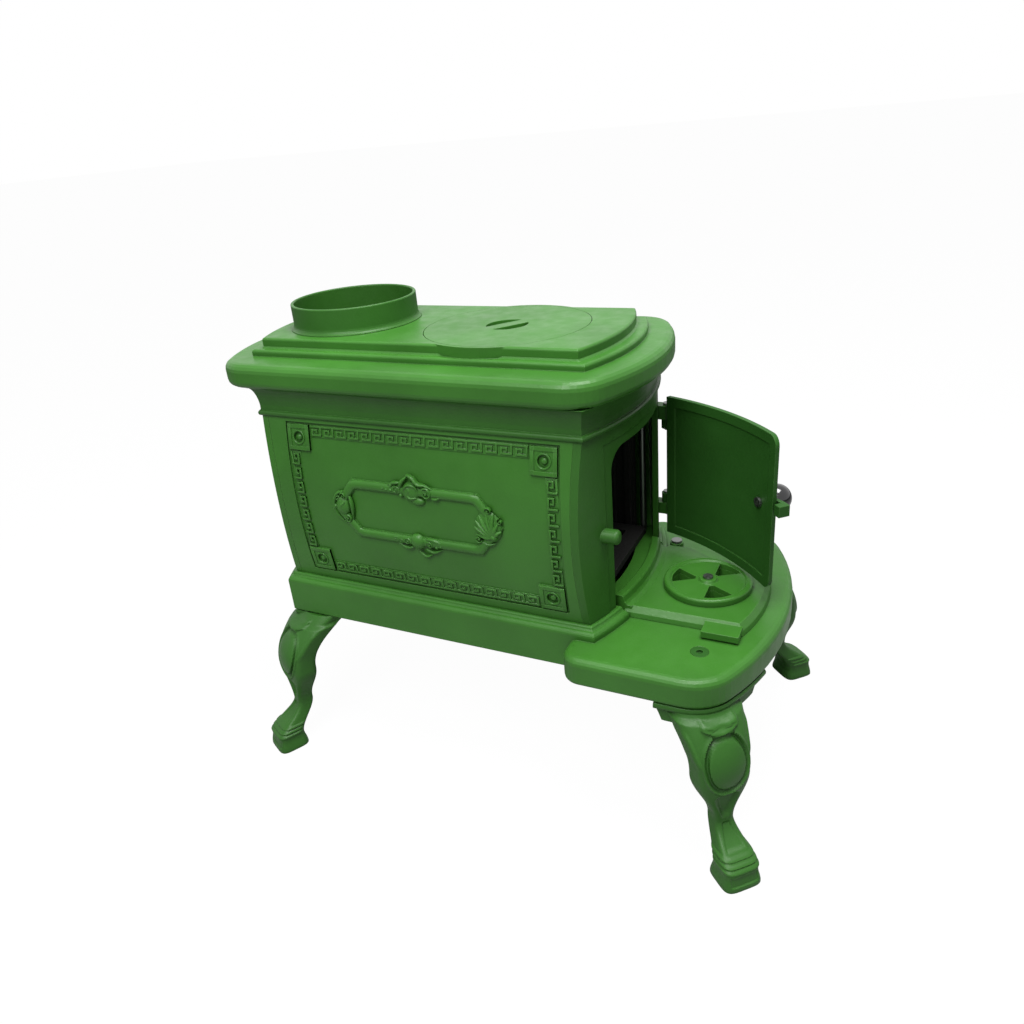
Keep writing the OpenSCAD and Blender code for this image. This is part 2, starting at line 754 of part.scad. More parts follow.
// Arm on the outside of the door whose lug reaches round the free edge and
// comes down over the catch peg
module door_latch() {
    color(paint_dark) swung() on_door() difference() {
        union() {
            translate([0, 0, latch_gap + seam]) {
                cylinder(h = latch_bar, r = spindle_r + 7);
                hull() {
                    cylinder(h = latch_bar, r = spindle_r + 4, $fn = 32);
                    translate([latch_u0, latch_low, 0]) cube([2, latch_high - latch_low, latch_bar]);
                }
            }
            translate([latch_u0, latch_low, -latch_depth])
                cube([latch_claw, latch_high - latch_low, latch_depth + latch_gap + seam + latch_bar]);
        }
        translate([0, 0, latch_gap - 1]) cylinder(h = latch_bar + 3, r = spindle_r + run_fit);
    }
}
// Shaft through the door that carries the latch and the knob
module latch_spindle() {
    tail = door_t + 2;
    color(steel) swung() on_door() {
        translate([0, 0, -tail]) cylinder(h = tail + knob_base + spindle_in_knob, r = spindle_r);
        translate([0, 0, -tail]) cylinder(h = tail - door_t + door_pan - 0.4, r = spindle_r + 2);
    }
}
// Ball cut flat where it meets the latch
module door_knob() {
    color(black_ball) swung() on_door() difference() {
        translate([0, 0, knob_n]) sphere(knob_d / 2, $fn = 96);
        translate([0, 0, knob_base - knob_d]) cylinder(h = knob_d, r = knob_d);
        translate([0, 0, knob_base - 1]) cylinder(h = spindle_in_knob + 1.3, r = spindle_r + run_fit);
    }
}

// ---- ash lid and draft wheel --------------------------------------------

lid_x0 = 8 - opening_w / 2;
lid_x1 = opening_w / 2 + 4;
upstand_x0 = lid_x0 + 4;
upstand_x1 = opening_w / 2 - 8;
upstand_r0 = bow_r - 10;
upstand_r1 = bow_r + 1;
upstand_h = 25.5;
lid_z = z_hearth + seam;
lid_top = lid_z + ash_lid_t;
lid_back_r = bow_r + 5;
lid_front_y = hearth_front + 24.5;
lid_front_r = 225;
lid_bevel = 7;
pivot_x = hinge_x - 8;
pivot_y = front_y - 38;
pivot_r = 4;
ear_r = 9;
draft_y = front_y - 103;
draft_r = draft_d / 2;
draft_z = lid_top + seam;
port_in = 15;
port_out = draft_r - 10;
port_a = 46;
tab_l = 42;
tab_y0 = draft_y - draft_r - 4;
tab_out = 18;
tab_t = 8;

// Plate with bevelled near, far and front edges, cut to the bow at the back
module lid_plate() {
    mid = lid_z + ash_lid_t * 0.45;
    difference() {
        intersection() {
            rotate([90, 0, 0]) linear_extrude(far) polygon([
                [lid_x0, lid_z], [lid_x1, lid_z], [lid_x1 - 1.5, mid], [lid_x1 - lid_bevel, lid_top],
                [lid_x0 + lid_bevel, lid_top], [lid_x0 + 1.5, mid]]);
            translate([0, lid_front_y + lid_front_r, 0]) rotate_extrude($fn = arc_fn) polygon([
                [0, lid_z], [lid_front_r, lid_z], [lid_front_r - 1.5, mid],
                [lid_front_r - lid_bevel, lid_top], [0, lid_top]]);
        }
        translate([0, front_cy, lid_z - 1]) cylinder(h = ash_lid_t + 2, r = lid_back_r - 2, $fn = arc_fn);
        difference() {
            translate([0, front_cy, lid_z - 1])
                cylinder(h = ash_lid_t + 2, r = bow_r + plinth_out + 1, $fn = arc_fn);
            translate([upstand_x1 + 2 - far, -far, 0]) cube([far, far, far]);
        }
    }
}

// Three petals round the hub; grow widens them
module ports(grow) {
    for (a = [90, 210, 330]) rotate(a) polygon(concat(
        arc(port_out + grow, -port_a / 2, port_a / 2, 8),
        [[port_in - grow, 2.5], [port_in - grow, -2.5]]));
}

module ash_lid() {
    color(paint) difference() {
        union() {
            lid_plate();
            upstand();
            translate([pivot_x, pivot_y, lid_z]) cylinder(h = ash_lid_t, r = ear_r);
            translate([lid_x0 - tab_out, tab_y0, lid_z + 2]) cube([tab_out + 6, tab_l, tab_t]);
        }
        // hollow underside round a ring that the draft wheel bears over
        translate([0, 0, lid_z - 1]) linear_extrude(ash_lid_t - 5) difference() {
            translate([lid_x0 + 12, hearth_front + 45])
                square([lid_x1 - lid_x0 - 24, front_y - 48 - hearth_front - 45]);
            translate([0, draft_y]) circle(draft_r - 2);
        }
        translate([0, draft_y, lid_z - 1]) linear_extrude(ash_lid_t + 2) ports(0);
        translate([0, draft_y, lid_z - 1]) cylinder(h = ash_lid_t + 2, r = pin_r + run_fit);
        translate([pivot_x, pivot_y, lid_z - 1]) cylinder(h = ash_lid_t + 2, r = pivot_r + run_fit);
    }
}
// Upright back edge that stands in the foot of the door opening
module upstand() {
    top = z_hearth + upstand_h;
    intersection() {
        translate([upstand_x0, -far, lid_z]) cube([upstand_x1 - upstand_x0, far, far]);
        translate([0, front_cy, 0]) rotate_extrude($fn = arc_fn) polygon([
            [upstand_r0, lid_z], [upstand_r1 + 10, lid_z], [upstand_r1 + 10, lid_top],
            [upstand_r1 + 4, lid_top + 1], [upstand_r1 + 1.5, lid_top + 4],
            [upstand_r1, top - 1.5], [upstand_r1 - 1.5, top],
            [upstand_r0 + 1.5, top], [upstand_r0, top - 1.5]]);
    }
}

module ash_lid_pivot() {
    color(steel) translate([pivot_x, pivot_y, 0]) {
        translate([0, 0, z_base + 12]) cylinder(h = lid_top + 1 - z_base - 12, r = pivot_r);
        translate([0, 0, lid_top + seam]) cylinder(h = 3, r = pivot_r + 3);
    }
}

module draft_wheel() {
    hub_r = 10;
    color(paint) translate([0, draft_y, draft_z]) difference() {
        union() {
            rotate_extrude($fn = 128) polygon([
                [0, 0], [draft_r, 0], [draft_r, draft_t - 2.5], [draft_r - 0.8, draft_t - 0.8],
                [draft_r - 2.5, draft_t], [draft_r - 7, draft_t], [draft_r - 9, draft_t - 2],
                [hub_r + 2, draft_t - 2], [hub_r, draft_t + 1], [0, draft_t + 1]]);
        }
        translate([0, 0, -1]) linear_extrude(draft_t + 3) ports(0);
        translate([0, 0, -1]) cylinder(h = draft_t + 3, r = pin_r + run_fit);
    }
}
module draft_rivet() {
    color(steel) translate([0, draft_y, lid_z]) {
        cylinder(h = ash_lid_t + seam + draft_t + 1.5, r = pin_r);
        translate([0, 0, ash_lid_t + 2 * seam + draft_t + 1]) cylinder(h = 2, r = pin_r + 3);
    }
}

// ---- legs ---------------------------------------------------------------

screw_r = 4;
screw_head_r = 10;
screw_head_t = 5;
leg_pad_t = 8;
pad_screw_r = 14;
pad_leg_r = 16;
hearth_screw_x = leg_front_x - 51;
hearth_screw_y = front_y - leg_front_y + 35;
hearth_screw_at = [for (s = [-1, 1]) [s * hearth_screw_x, hearth_screw_y]];
rear_screw_x = leg_rear_x - 52;
rear_screw_y = back_y + leg_rear_y - 28;
rear_screw_at = [for (s = [-1, 1]) [s * rear_screw_x, rear_screw_y]];
screw_depth = leg_pad_t - 1;
leg_front_at = [leg_front_x, front_y - leg_front_y];
leg_rear_at = [leg_rear_x, back_y + leg_rear_y];
// Where the front of a leg's top lies under the casting's edge
hip_front_out = -10;
hip_rear_out = -20;
hip_fall = 20;
knee_fall = 2;
ring_n = 20;
steps_between = 5;
bracket_h = 28;
bracket_step = 8;
bracket_t = 12;
bracket_in = 4.5;
bracket_taper = 7;
wing_front = [90, 71];
wing_rear = [60, 48];

// The leg at its five chosen heights, as [height, front face, depth, width,
// how far the flanks fall back]
function leg_forms(top, hip_out) = [
    [0, foot_reach + sole_ridge, toe_d + 2 * sole_ridge, toe_w + 2 * sole_ridge, 0],
    [toe_h, foot_reach, toe_d, toe_w, 0],
    [ankle_h, ankle_out, ankle_d, ankle_w, 0],
    [knee_h, knee_out, knee_d, knee_w, knee_fall],
    [top, hip_out, hip_d, hip_w, hip_fall]];
function eased(t) = (1 - cos(180 * t)) / 2;
// Between two forms: an S up to the knee, and a flare from there to the top
function form_at(a, b, t, flare) = let (e = flare ? t * t : eased(t))
    [for (i = [0:4]) a[i] + (b[i] - a[i]) * (i == 0 ? t : e)];
function squared(a) = pow(abs(a), squareness) * sign(a);
function leg_ring(f) =
    [for (i = [0:ring_n - 1]) let (a = 360 * i / ring_n, v = squared(sin(a)))
        [f[1] - f[2] / 2 + f[2] / 2 * squared(cos(a)) - f[4] * v * v, f[3] / 2 * v, f[0]]];
module leg_body(top, hip_out) {
    forms = leg_forms(top, hip_out);
    last = len(forms) - 2;
    loft(concat([leg_ring(forms[0])],
        [for (k = [0:last], j = [1:steps_between])
            leg_ring(form_at(forms[k], forms[k + 1], j / steps_between, k == last))]));
}

// Plan of the casting above a leg, moved in by inset
module base_plan(front, inset) {
    if (front) polygon(outline(hearth_hw, [hearth_front, hearth_bow_r, hearth_corner_r],
                               [wing_back, straight_r, wing_r], inset));
    else bowed_2d(inset - plinth_out, body_hw + plinth_out - inset);
}
module strip(front, inset) {
    difference() {
        base_plan(front, inset);
        base_plan(front, inset + bracket_t);
    }
}
// Side view of a bracket's wing, from its end inwards and from the top down
wing_profile = concat([[0, 0], [0, -bracket_step]],
    [for (i = [0:6]) [3 + bracket_taper * i / 6,
        -bracket_step - (bracket_h - bracket_step) * eased(i / 6)]],
    [[far, -bracket_h], [far, 0]]);

// Two-step bracket that follows the casting's edge; its wings end at end, and
// way is the direction of the leg along Y
module bracket(front, end, way, top) {
    intersection() {
        union() {
            translate([0, 0, top - bracket_step]) linear_extrude(bracket_step) strip(front, bracket_in);
            translate([0, 0, top - bracket_h]) linear_extrude(bracket_h) strip(front, 2 * bracket_in);
        }
        rotate([90, 0, 0]) translate([0, 0, -far]) linear_extrude(2 * far)
            polygon([for (p = wing_profile) [end[0] + p[0], top + p[1]]]);
        rotate([90, 0, 90]) linear_extrude(far)
            polygon([for (p = wing_profile) [end[1] + way * p[0], top + p[1]]]);
    }
}

// Leg with its axis at p and its toe turned by a from +X, screwed on at q
module leg(p, a, q, top, hip_out, front) {
    way = front ? -1 : 1;
    wing = front ? wing_front : wing_rear;
    mid = p + (hip_out - hip_d / 2) * [cos(a), sin(a)];
    color(paint) difference() {
        union() {
            translate([p[0], p[1], 0]) rotate([0, 0, a]) leg_body(top, hip_out);
            bracket(front, [p[0] - wing[0], p[1] - way * wing[1]], way, top);
            translate([0, 0, top - leg_pad_t]) hull() {
                translate([q[0], q[1], 0]) cylinder(h = leg_pad_t, r = pad_screw_r, $fn = 32);
                translate([mid[0], mid[1], 0]) cylinder(h = leg_pad_t, r = pad_leg_r, $fn = 32);
            }
        }
        translate([q[0], q[1], top - leg_pad_t - 1]) cylinder(h = leg_pad_t + 2, r = screw_r + run_fit);
    }
}
module leg_front_right() {
    leg(leg_front_at, -leg_front_angle, hearth_screw_at[1], z_base, hip_front_out, true);
}
module leg_front_left() { mirror([1, 0, 0]) leg_front_right(); }
module leg_rear_right() {
    leg(leg_rear_at, leg_rear_angle, rear_screw_at[1], z_plinth, hip_rear_out, false);
}
module leg_rear_left() { mirror([1, 0, 0]) leg_rear_right(); }

module leg_screws() {
    color(paint_dark) {
        for (p = hearth_screw_at) translate([p[0], p[1], 0]) {
            translate([0, 0, z_base - screw_depth]) cylinder(h = screw_depth + hearth_t - 3, r = screw_r);
            translate([0, 0, z_hearth - screw_head_t]) difference() {
                cylinder(h = screw_head_t, r = screw_head_r);
                translate([0, 0, 2]) cylinder(h = 4, r = 4, $fn = 6);
            }
        }
        for (p = rear_screw_at) translate([p[0], p[1], 0]) {
            translate([0, 0, z_plinth - screw_depth])
                cylinder(h = screw_depth + pit_floor - z_plinth + 1, r = screw_r);
            translate([0, 0, pit_floor]) cylinder(h = 5, r = 6.5, $fn = 6);
        }
    }
}

// ---- inside -------------------------------------------------------------

liner_gap = 4;
liner_x = body_hw - wall - liner_gap - liner_t;
liner_y0 = front_y + 26;
liner_y1 = back_y - 24;
liner_h = body_h - 34;
rib_pitch = 22;
rib_w = 8;
rib_h = 4;
rod_x = body_hw - 17;
rod_top = z_step - top_t - 2;
rod_at = [for (sx = [-1, 1], y = [front_y + 14, back_y - 12]) [sx * rod_x, y]];

module liner_side() {
    translate([liner_x, liner_y0, z_body]) cube([liner_t, liner_y1 - liner_y0, liner_h]);
    for (y = [liner_y0 + rib_w:rib_pitch:liner_y1 - rib_w])
        translate([liner_x - rib_h, y - rib_w / 2, z_body]) cube([rib_h + 1, rib_w, liner_h]);
}
module liner_right() { color(iron) liner_side(); }
module liner_left() { color(iron) mirror([1, 0, 0]) liner_side(); }
module liner_back() {
    y0 = liner_y1 + 2;
    back_hw = rod_x - rod_d / 2 - 3;
    color(iron) {
        translate([-back_hw, y0, z_body]) cube([2 * back_hw, liner_t, liner_h]);
        for (x = [-3:3]) translate([x * rib_pitch * 1.2 - rib_w / 2, y0 - rib_h, z_body])
            cube([rib_w, rib_h + 1, liner_h]);
    }
}

grate_hw = liner_x - rib_h - 2;
grate_y0 = front_y + 8;
grate_y1 = liner_y1 - rib_h - 3;
module grate() {
    slot_n = 12;
    pitch = (grate_y1 - grate_y0 - 30) / slot_n;
    color(iron) translate([0, 0, z_body]) difference() {
        translate([-grate_hw, grate_y0, 0]) cube([2 * grate_hw, grate_y1 - grate_y0, grate_t]);
        for (i = [0:slot_n - 1], s = [-1, 1])
            translate([s > 0 ? 7 : -grate_hw + 18, grate_y0 + 15 + i * pitch + pitch / 4, -1])
                cube([grate_hw - 25, pitch / 2, grate_t + 2]);
    }
}

nut_h = 6.5;
nut_z = z_body - flange_t - nut_h;
module tie_rods() {
    color(steel) for (p = rod_at) translate([p[0], p[1], nut_z - 2])
        cylinder(h = rod_top - nut_z + 2, r = rod_d / 2);
}
module tie_nuts() {
    color(steel) for (p = rod_at) translate([p[0], p[1], nut_z]) difference() {
        cylinder(h = nut_h, r = rod_d * 0.93, $fn = 6);
        translate([0, 0, -1]) cylinder(h = nut_h + 2, r = rod_d / 2 + run_fit);
    }
}

hearth_base();
side_panel_left();
side_panel_right();
front_plate();
back_plate();
top_frame();
top_plate();
flue_collar();
cook_lid();
fire_door();
door_hinge_pins();
door_latch();
latch_spindle();
door_knob();
ash_lid();
ash_lid_pivot();
draft_wheel();
draft_rivet();
leg_front_left();
leg_front_right();
leg_rear_left();
leg_rear_right();
leg_screws();
grate();
liner_left();
liner_right();
liner_back();
tie_rods();
tie_nuts();
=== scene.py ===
"""Looks of a cast-iron box stove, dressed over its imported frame.
Metres, +Z up, the fire door and the hearth towards -Y. Lengths are written in
millimetres where that reads better and are turned into metres by mm()."""
import json
import math
import bmesh
import bpy
from mathutils import Matrix, Vector


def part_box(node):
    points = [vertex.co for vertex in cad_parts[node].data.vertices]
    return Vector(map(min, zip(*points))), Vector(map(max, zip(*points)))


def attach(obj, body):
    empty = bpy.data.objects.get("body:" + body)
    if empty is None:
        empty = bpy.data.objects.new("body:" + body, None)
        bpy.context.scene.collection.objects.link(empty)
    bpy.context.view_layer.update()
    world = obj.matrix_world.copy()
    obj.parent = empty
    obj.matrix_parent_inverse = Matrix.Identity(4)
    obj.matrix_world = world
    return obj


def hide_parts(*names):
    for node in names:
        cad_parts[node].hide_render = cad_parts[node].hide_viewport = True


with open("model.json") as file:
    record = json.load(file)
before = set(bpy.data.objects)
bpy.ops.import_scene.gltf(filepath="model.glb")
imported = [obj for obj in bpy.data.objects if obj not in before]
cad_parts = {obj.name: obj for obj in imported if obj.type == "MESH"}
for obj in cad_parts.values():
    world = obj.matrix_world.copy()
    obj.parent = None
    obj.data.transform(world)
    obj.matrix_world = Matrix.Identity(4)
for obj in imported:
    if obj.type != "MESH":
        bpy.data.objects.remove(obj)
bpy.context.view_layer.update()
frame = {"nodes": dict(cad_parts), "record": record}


def mm(*values):
    """Millimetres to metres, one value or several."""
    scaled = [v * 0.001 for v in values]
    return scaled[0] if len(scaled) == 1 else scaled


# ---- sizes, from the frame and the object's own driving dimensions ----------

base_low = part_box("hearth_base")[0]
wall_low, wall_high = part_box("front_plate")
HEARTH_L, BODY_L, BODY_HW = mm(200, 427, 132.5)
FRONT_Y = base_low.y + HEARTH_L
BACK_Y = FRONT_Y + BODY_L
Z_BODY, Z_TOP = wall_low.z, wall_high.z
PLINTH_H, HEARTH_T = mm(16, 35)
Z_BASE = Z_BODY - PLINTH_H - HEARTH_T
Z_PLINTH = base_low.z
BOW_R = mm(325)
BOW_SAG = BOW_R - math.sqrt(BOW_R ** 2 - BODY_HW ** 2)
BACK_CY = BACK_Y + BOW_SAG - BOW_R


# ---- camera ------------------------------------------------------------------

CAMERA_AT = Vector((mm(-876.27), FRONT_Y - mm(301.41), mm(782.66)))
CAMERA_TURN, CAMERA_TILT, CAMERA_ROLL = map(math.radians, (-62.1476, -24.9976, -5.3491))
SENSOR = 36.0
FOCAL_PX, IMAGE_PX = 826.22, 1024
PRINCIPAL_PX = (508.781, 505.543)


def make_camera():
    """The camera that the photograph was fitted with."""
    turn, tilt = CAMERA_TURN, CAMERA_TILT
    ahead = Vector((-math.sin(turn) * math.cos(tilt), math.cos(turn) * math.cos(tilt), math.sin(tilt)))
    right = Vector((math.cos(turn), math.sin(turn), 0))
    up = right.cross(ahead)
    c, s = math.cos(CAMERA_ROLL), math.sin(CAMERA_ROLL)
    across, upright = c * right + s * up, c * up - s * right
    data = bpy.data.cameras.new("camera")
    data.sensor_width = SENSOR
    data.lens = FOCAL_PX / IMAGE_PX * SENSOR
    data.shift_x = (IMAGE_PX / 2 - PRINCIPAL_PX[0]) / IMAGE_PX
    data.shift_y = (PRINCIPAL_PX[1] - IMAGE_PX / 2) / IMAGE_PX
    data.clip_start, data.clip_end = 0.01, 50
    camera = bpy.data.objects.new("camera", data)
    bpy.context.collection.objects.link(camera)
    facing = Matrix((across, upright, -ahead)).transposed().to_4x4()
    camera.matrix_world = Matrix.Translation(CAMERA_AT) @ facing
    bpy.context.scene.camera = camera


make_camera()


# ---- materials ---------------------------------------------------------------

def new_material(name):
    """(material, its nodes, its links, its principled shader)."""
    material = bpy.data.materials.new(name)
    material.use_nodes = True
    nodes, links = material.node_tree.nodes, material.node_tree.links
    return material, nodes, links, nodes["Principled BSDF"]


def noise(nodes, links, scale, detail):
    """Noise in the object's own space, with scale in cycles a metre."""
    place = nodes.new("ShaderNodeTexCoord")
    texture = nodes.new("ShaderNodeTexNoise")
    texture.inputs["Scale"].default_value = scale
    texture.inputs["Detail"].default_value = detail
    links.new(place.outputs["Object"], texture.inputs["Vector"])
    return texture.outputs["Fac"]


def ramp(nodes, links, source, low, high, low_out, high_out):
    """source taken from low..high to low_out..high_out."""
    node = nodes.new("ShaderNodeMapRange")
    for name, value in (("From Min", low), ("From Max", high), ("To Min", low_out), ("To Max", high_out)):
        node.inputs[name].default_value = value
    links.new(source, node.inputs["Value"])
    return node.outputs["Result"]


def mix_colour(nodes, links, share, first, second):
    """Colours or colour sockets mixed by the share socket."""
    node = nodes.new("ShaderNodeMix")
    node.data_type = "RGBA"
    links.new(share, node.inputs["Factor"])
    for socket, colour in (("A", first), ("B", second)):
        target = [i for i in node.inputs if i.name == socket and i.type == "RGBA"][0]
        if isinstance(colour, tuple):
            target.default_value = (*colour, 1)
        else:
            links.new(colour, target)
    return [o for o in node.outputs if o.type == "RGBA"][0]


# Cycles a metre: patches of colour, sand-cast waves, changes of sheen, the paint's fine peel
PATCH_SCALE, WAVE_SCALE, SHEEN_SCALE, PEEL_SCALE = 9, 38, 60, 340
# Reach of the painted highlight on edges and of the painted shade in hollows, then the rounding of edges in
# the bump
HIGHLIGHT_REACH, SHADE_REACH, ROUNDING = mm(1.4, 7, 1.1)
PEEL_DEPTH, WAVE_DEPTH = mm(0.6, 1.2)


def flatness(nodes, links, radius):
    """1 on a flat face, and less where the surface turns within the radius."""
    rounded = nodes.new("ShaderNodeBevel")
    rounded.samples = 6
    rounded.inputs["Radius"].default_value = radius
    compare = nodes.new("ShaderNodeVectorMath")
    compare.operation = "DOT_PRODUCT"
    links.new(rounded.outputs["Normal"], compare.inputs[0])
    links.new(nodes.new("ShaderNodeNewGeometry").outputs["Normal"], compare.inputs[1])
    return compare.outputs["Value"]


def openness(nodes, links, distance):
    """1 in the open, and less in hollows and corners."""
    shade = nodes.new("ShaderNodeAmbientOcclusion")
    shade.samples = 6
    shade.inputs["Distance"].default_value = distance
    return shade.outputs["AO"]


def cast_material(name, colour, shade_colour, highlight_colour, rough, grain, shine):
    """Painted or bare casting: painted shade darkens its hollows and a painted
    highlight lightens its edges, with the fine peel and the slow waves of a sand-cast face."""
    material, nodes, links, shader = new_material(name)
    patches = ramp(nodes, links, noise(nodes, links, PATCH_SCALE, 3), 0.35, 0.65, 0, 1)
    darker, lighter = (tuple(share * c for c in colour) for share in (0.90, 1.08))
    body = mix_colour(nodes, links, patches, darker, lighter)
    # Painted shade: the colour darkens towards the shade colour in hollows and corners
    painted_shade = ramp(nodes, links, openness(nodes, links, SHADE_REACH), 0.35, 0.85, 0.6, 0)
    # Painted highlight: the colour lightens towards the highlight colour on edges
    painted_highlight = ramp(nodes, links, flatness(nodes, links, HIGHLIGHT_REACH), 0.80, 0.98, 0.5, 0)
    shaded = mix_colour(nodes, links, painted_shade, body, shade_colour)
    links.new(mix_colour(nodes, links, painted_highlight, shaded, highlight_colour), shader.inputs["Base Color"])
    links.new(ramp(nodes, links, noise(nodes, links, SHEEN_SCALE, 4), 0.3, 0.7, rough - 0.07, rough + 0.07),
              shader.inputs["Roughness"])
    shader.inputs["Specular IOR Level"].default_value = shine
    peel = nodes.new("ShaderNodeBump")
    peel.inputs["Strength"].default_value = grain
    peel.inputs["Distance"].default_value = PEEL_DEPTH
    links.new(noise(nodes, links, PEEL_SCALE, 3), peel.inputs["Height"])
    waves = nodes.new("ShaderNodeBump")
    waves.inputs["Strength"].default_value = 0.25
    waves.inputs["Distance"].default_value = WAVE_DEPTH
    links.new(noise(nodes, links, WAVE_SCALE, 2), waves.inputs["Height"])
    links.new(peel.outputs["Normal"], waves.inputs["Normal"])
    rounded = nodes.new("ShaderNodeBevel")
    rounded.samples = 6
    rounded.inputs["Radius"].default_value = ROUNDING
    links.new(rounded.outputs["Normal"], peel.inputs["Normal"])
    links.new(waves.outputs["Normal"], shader.inputs["Normal"])
    return material


def steel_material():
    """Plain steel for pins, screws and rods."""
    material, nodes, links, shader = new_material("plain_steel")
    shader.inputs["Base Color"].default_value = (0.22, 0.23, 0.22, 1)
    shader.inputs["Metallic"].default_value = 1
    brushed = noise(nodes, links, 420, 3)
    links.new(ramp(nodes, links, brushed, 0.3, 0.7, 0.3, 0.5), shader.inputs["Roughness"])
    return material


def ball_material():
    """Glossy black ball on the latch."""
    material, nodes, links, shader = new_material("black_ball")
    shader.inputs["Base Color"].default_value = (0.006, 0.006, 0.007, 1)
    shader.inputs["Coat Weight"].default_value = 0.6
    shader.inputs["Coat Roughness"].default_value = 0.04
    handled = noise(nodes, links, 150, 2)
    links.new(ramp(nodes, links, handled, 0.3, 0.7, 0.10, 0.18), shader.inputs["Roughness"])
    return material


# Colour, painted shade in hollows, painted highlight on edges, roughness, grain and shine
green = cast_material("green_enamel", (0.038, 0.155, 0.018), (0.008, 0.036, 0.005),
                      (0.100, 0.290, 0.060), 0.38, 0.24, 0.30)
green_inner = cast_material("green_shaded", (0.020, 0.085, 0.012), (0.006, 0.026, 0.005),
                            (0.060, 0.180, 0.035), 0.50, 0.20, 0.15)
# A darker copy of the green: painted shade
green_shade_copy = cast_material("green_shade_copy", (0.028, 0.114, 0.014), (0.006, 0.026, 0.004),
                           (0.080, 0.230, 0.048), 0.42, 0.24, 0.26)
iron = cast_material("sooty_iron", (0.014, 0.014, 0.013), (0.004, 0.004, 0.004),
                     (0.05, 0.05, 0.045), 0.75, 0.5, 0.2)
steel = steel_material()
ball = ball_material()
MATERIALS = {"green_paint": green, "dark_paint": green_inner, "bare_iron": iron,
             "steel": steel, "knob_black": ball}
# A darker copy of the green, painted shade on these castings; the carved legs have this copy too
SHADE_PAINTED_NODES = ("front_plate", "top_frame", "flue_collar")
SMOOTH_BELOW = math.radians(34)


def smooth(mesh, angle=SMOOTH_BELOW):
    mesh.polygons.foreach_set("use_smooth", [True] * len(mesh.polygons))
    mesh.set_sharp_from_angle(angle=angle)


def dress_frame():
    """Every carried-over node gets its slot's material, or the darker green copy of painted shade for the
    castings listed above, and smooth curves.
    """
    slots = {row["node"]: row["material_slot"] for row in frame["record"]["subparts"]}
    for node, shape in frame["nodes"].items():
        # The listed castings take the darker green copy, which is painted shade
        material = green_shade_copy if node in SHADE_PAINTED_NODES else MATERIALS[slots[node]]
        if not shape.material_slots:
            shape.data.materials.append(material)
        for place in shape.material_slots:
            place.material = material
        smooth(shape.data)


dress_frame()


def make_piece(name, verts, faces, material, body, angle=SMOOTH_BELOW):
    """A new piece that rides on a body; its faces are turned outwards."""
    mesh = bpy.data.meshes.new(name)
    mesh.from_pydata(verts, [], faces)
    work = bmesh.new()
    work.from_mesh(mesh)
    bmesh.ops.remove_doubles(work, verts=work.verts, dist=1e-6)
    bmesh.ops.recalc_face_normals(work, faces=work.faces)
    work.to_mesh(mesh)
    work.free()
    smooth(mesh, angle)
    mesh.materials.append(material)
    piece = bpy.data.objects.new(name, mesh)
    bpy.context.collection.objects.link(piece)
    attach(piece, body)
    return piece


# ---- relief on the swelled side panels ---------------------------------------

SWELL = mm(11)
HALF_H = (Z_TOP - Z_BODY) / 2
SWELL_R = (HALF_H ** 2 + SWELL ** 2) / (2 * SWELL)
SWELL_CX, SWELL_CZ = BODY_HW + SWELL - SWELL_R, Z_BODY + HALF_H
FIELD_DEPTH = mm(2.5)
FIELD_Y = (FRONT_Y + mm(24), BACK_Y - mm(36))
FIELD_Z = (Z_BODY + mm(12), Z_TOP - mm(5))
SQUARE, SQUARE_IN = mm(32, 3)
CART = Vector((FRONT_Y + BODY_L / 2, Z_BODY + mm(115)))
CART_TIP, CART_STRAIGHT, CART_HH, CART_W = mm(117, 87, 39, 12)


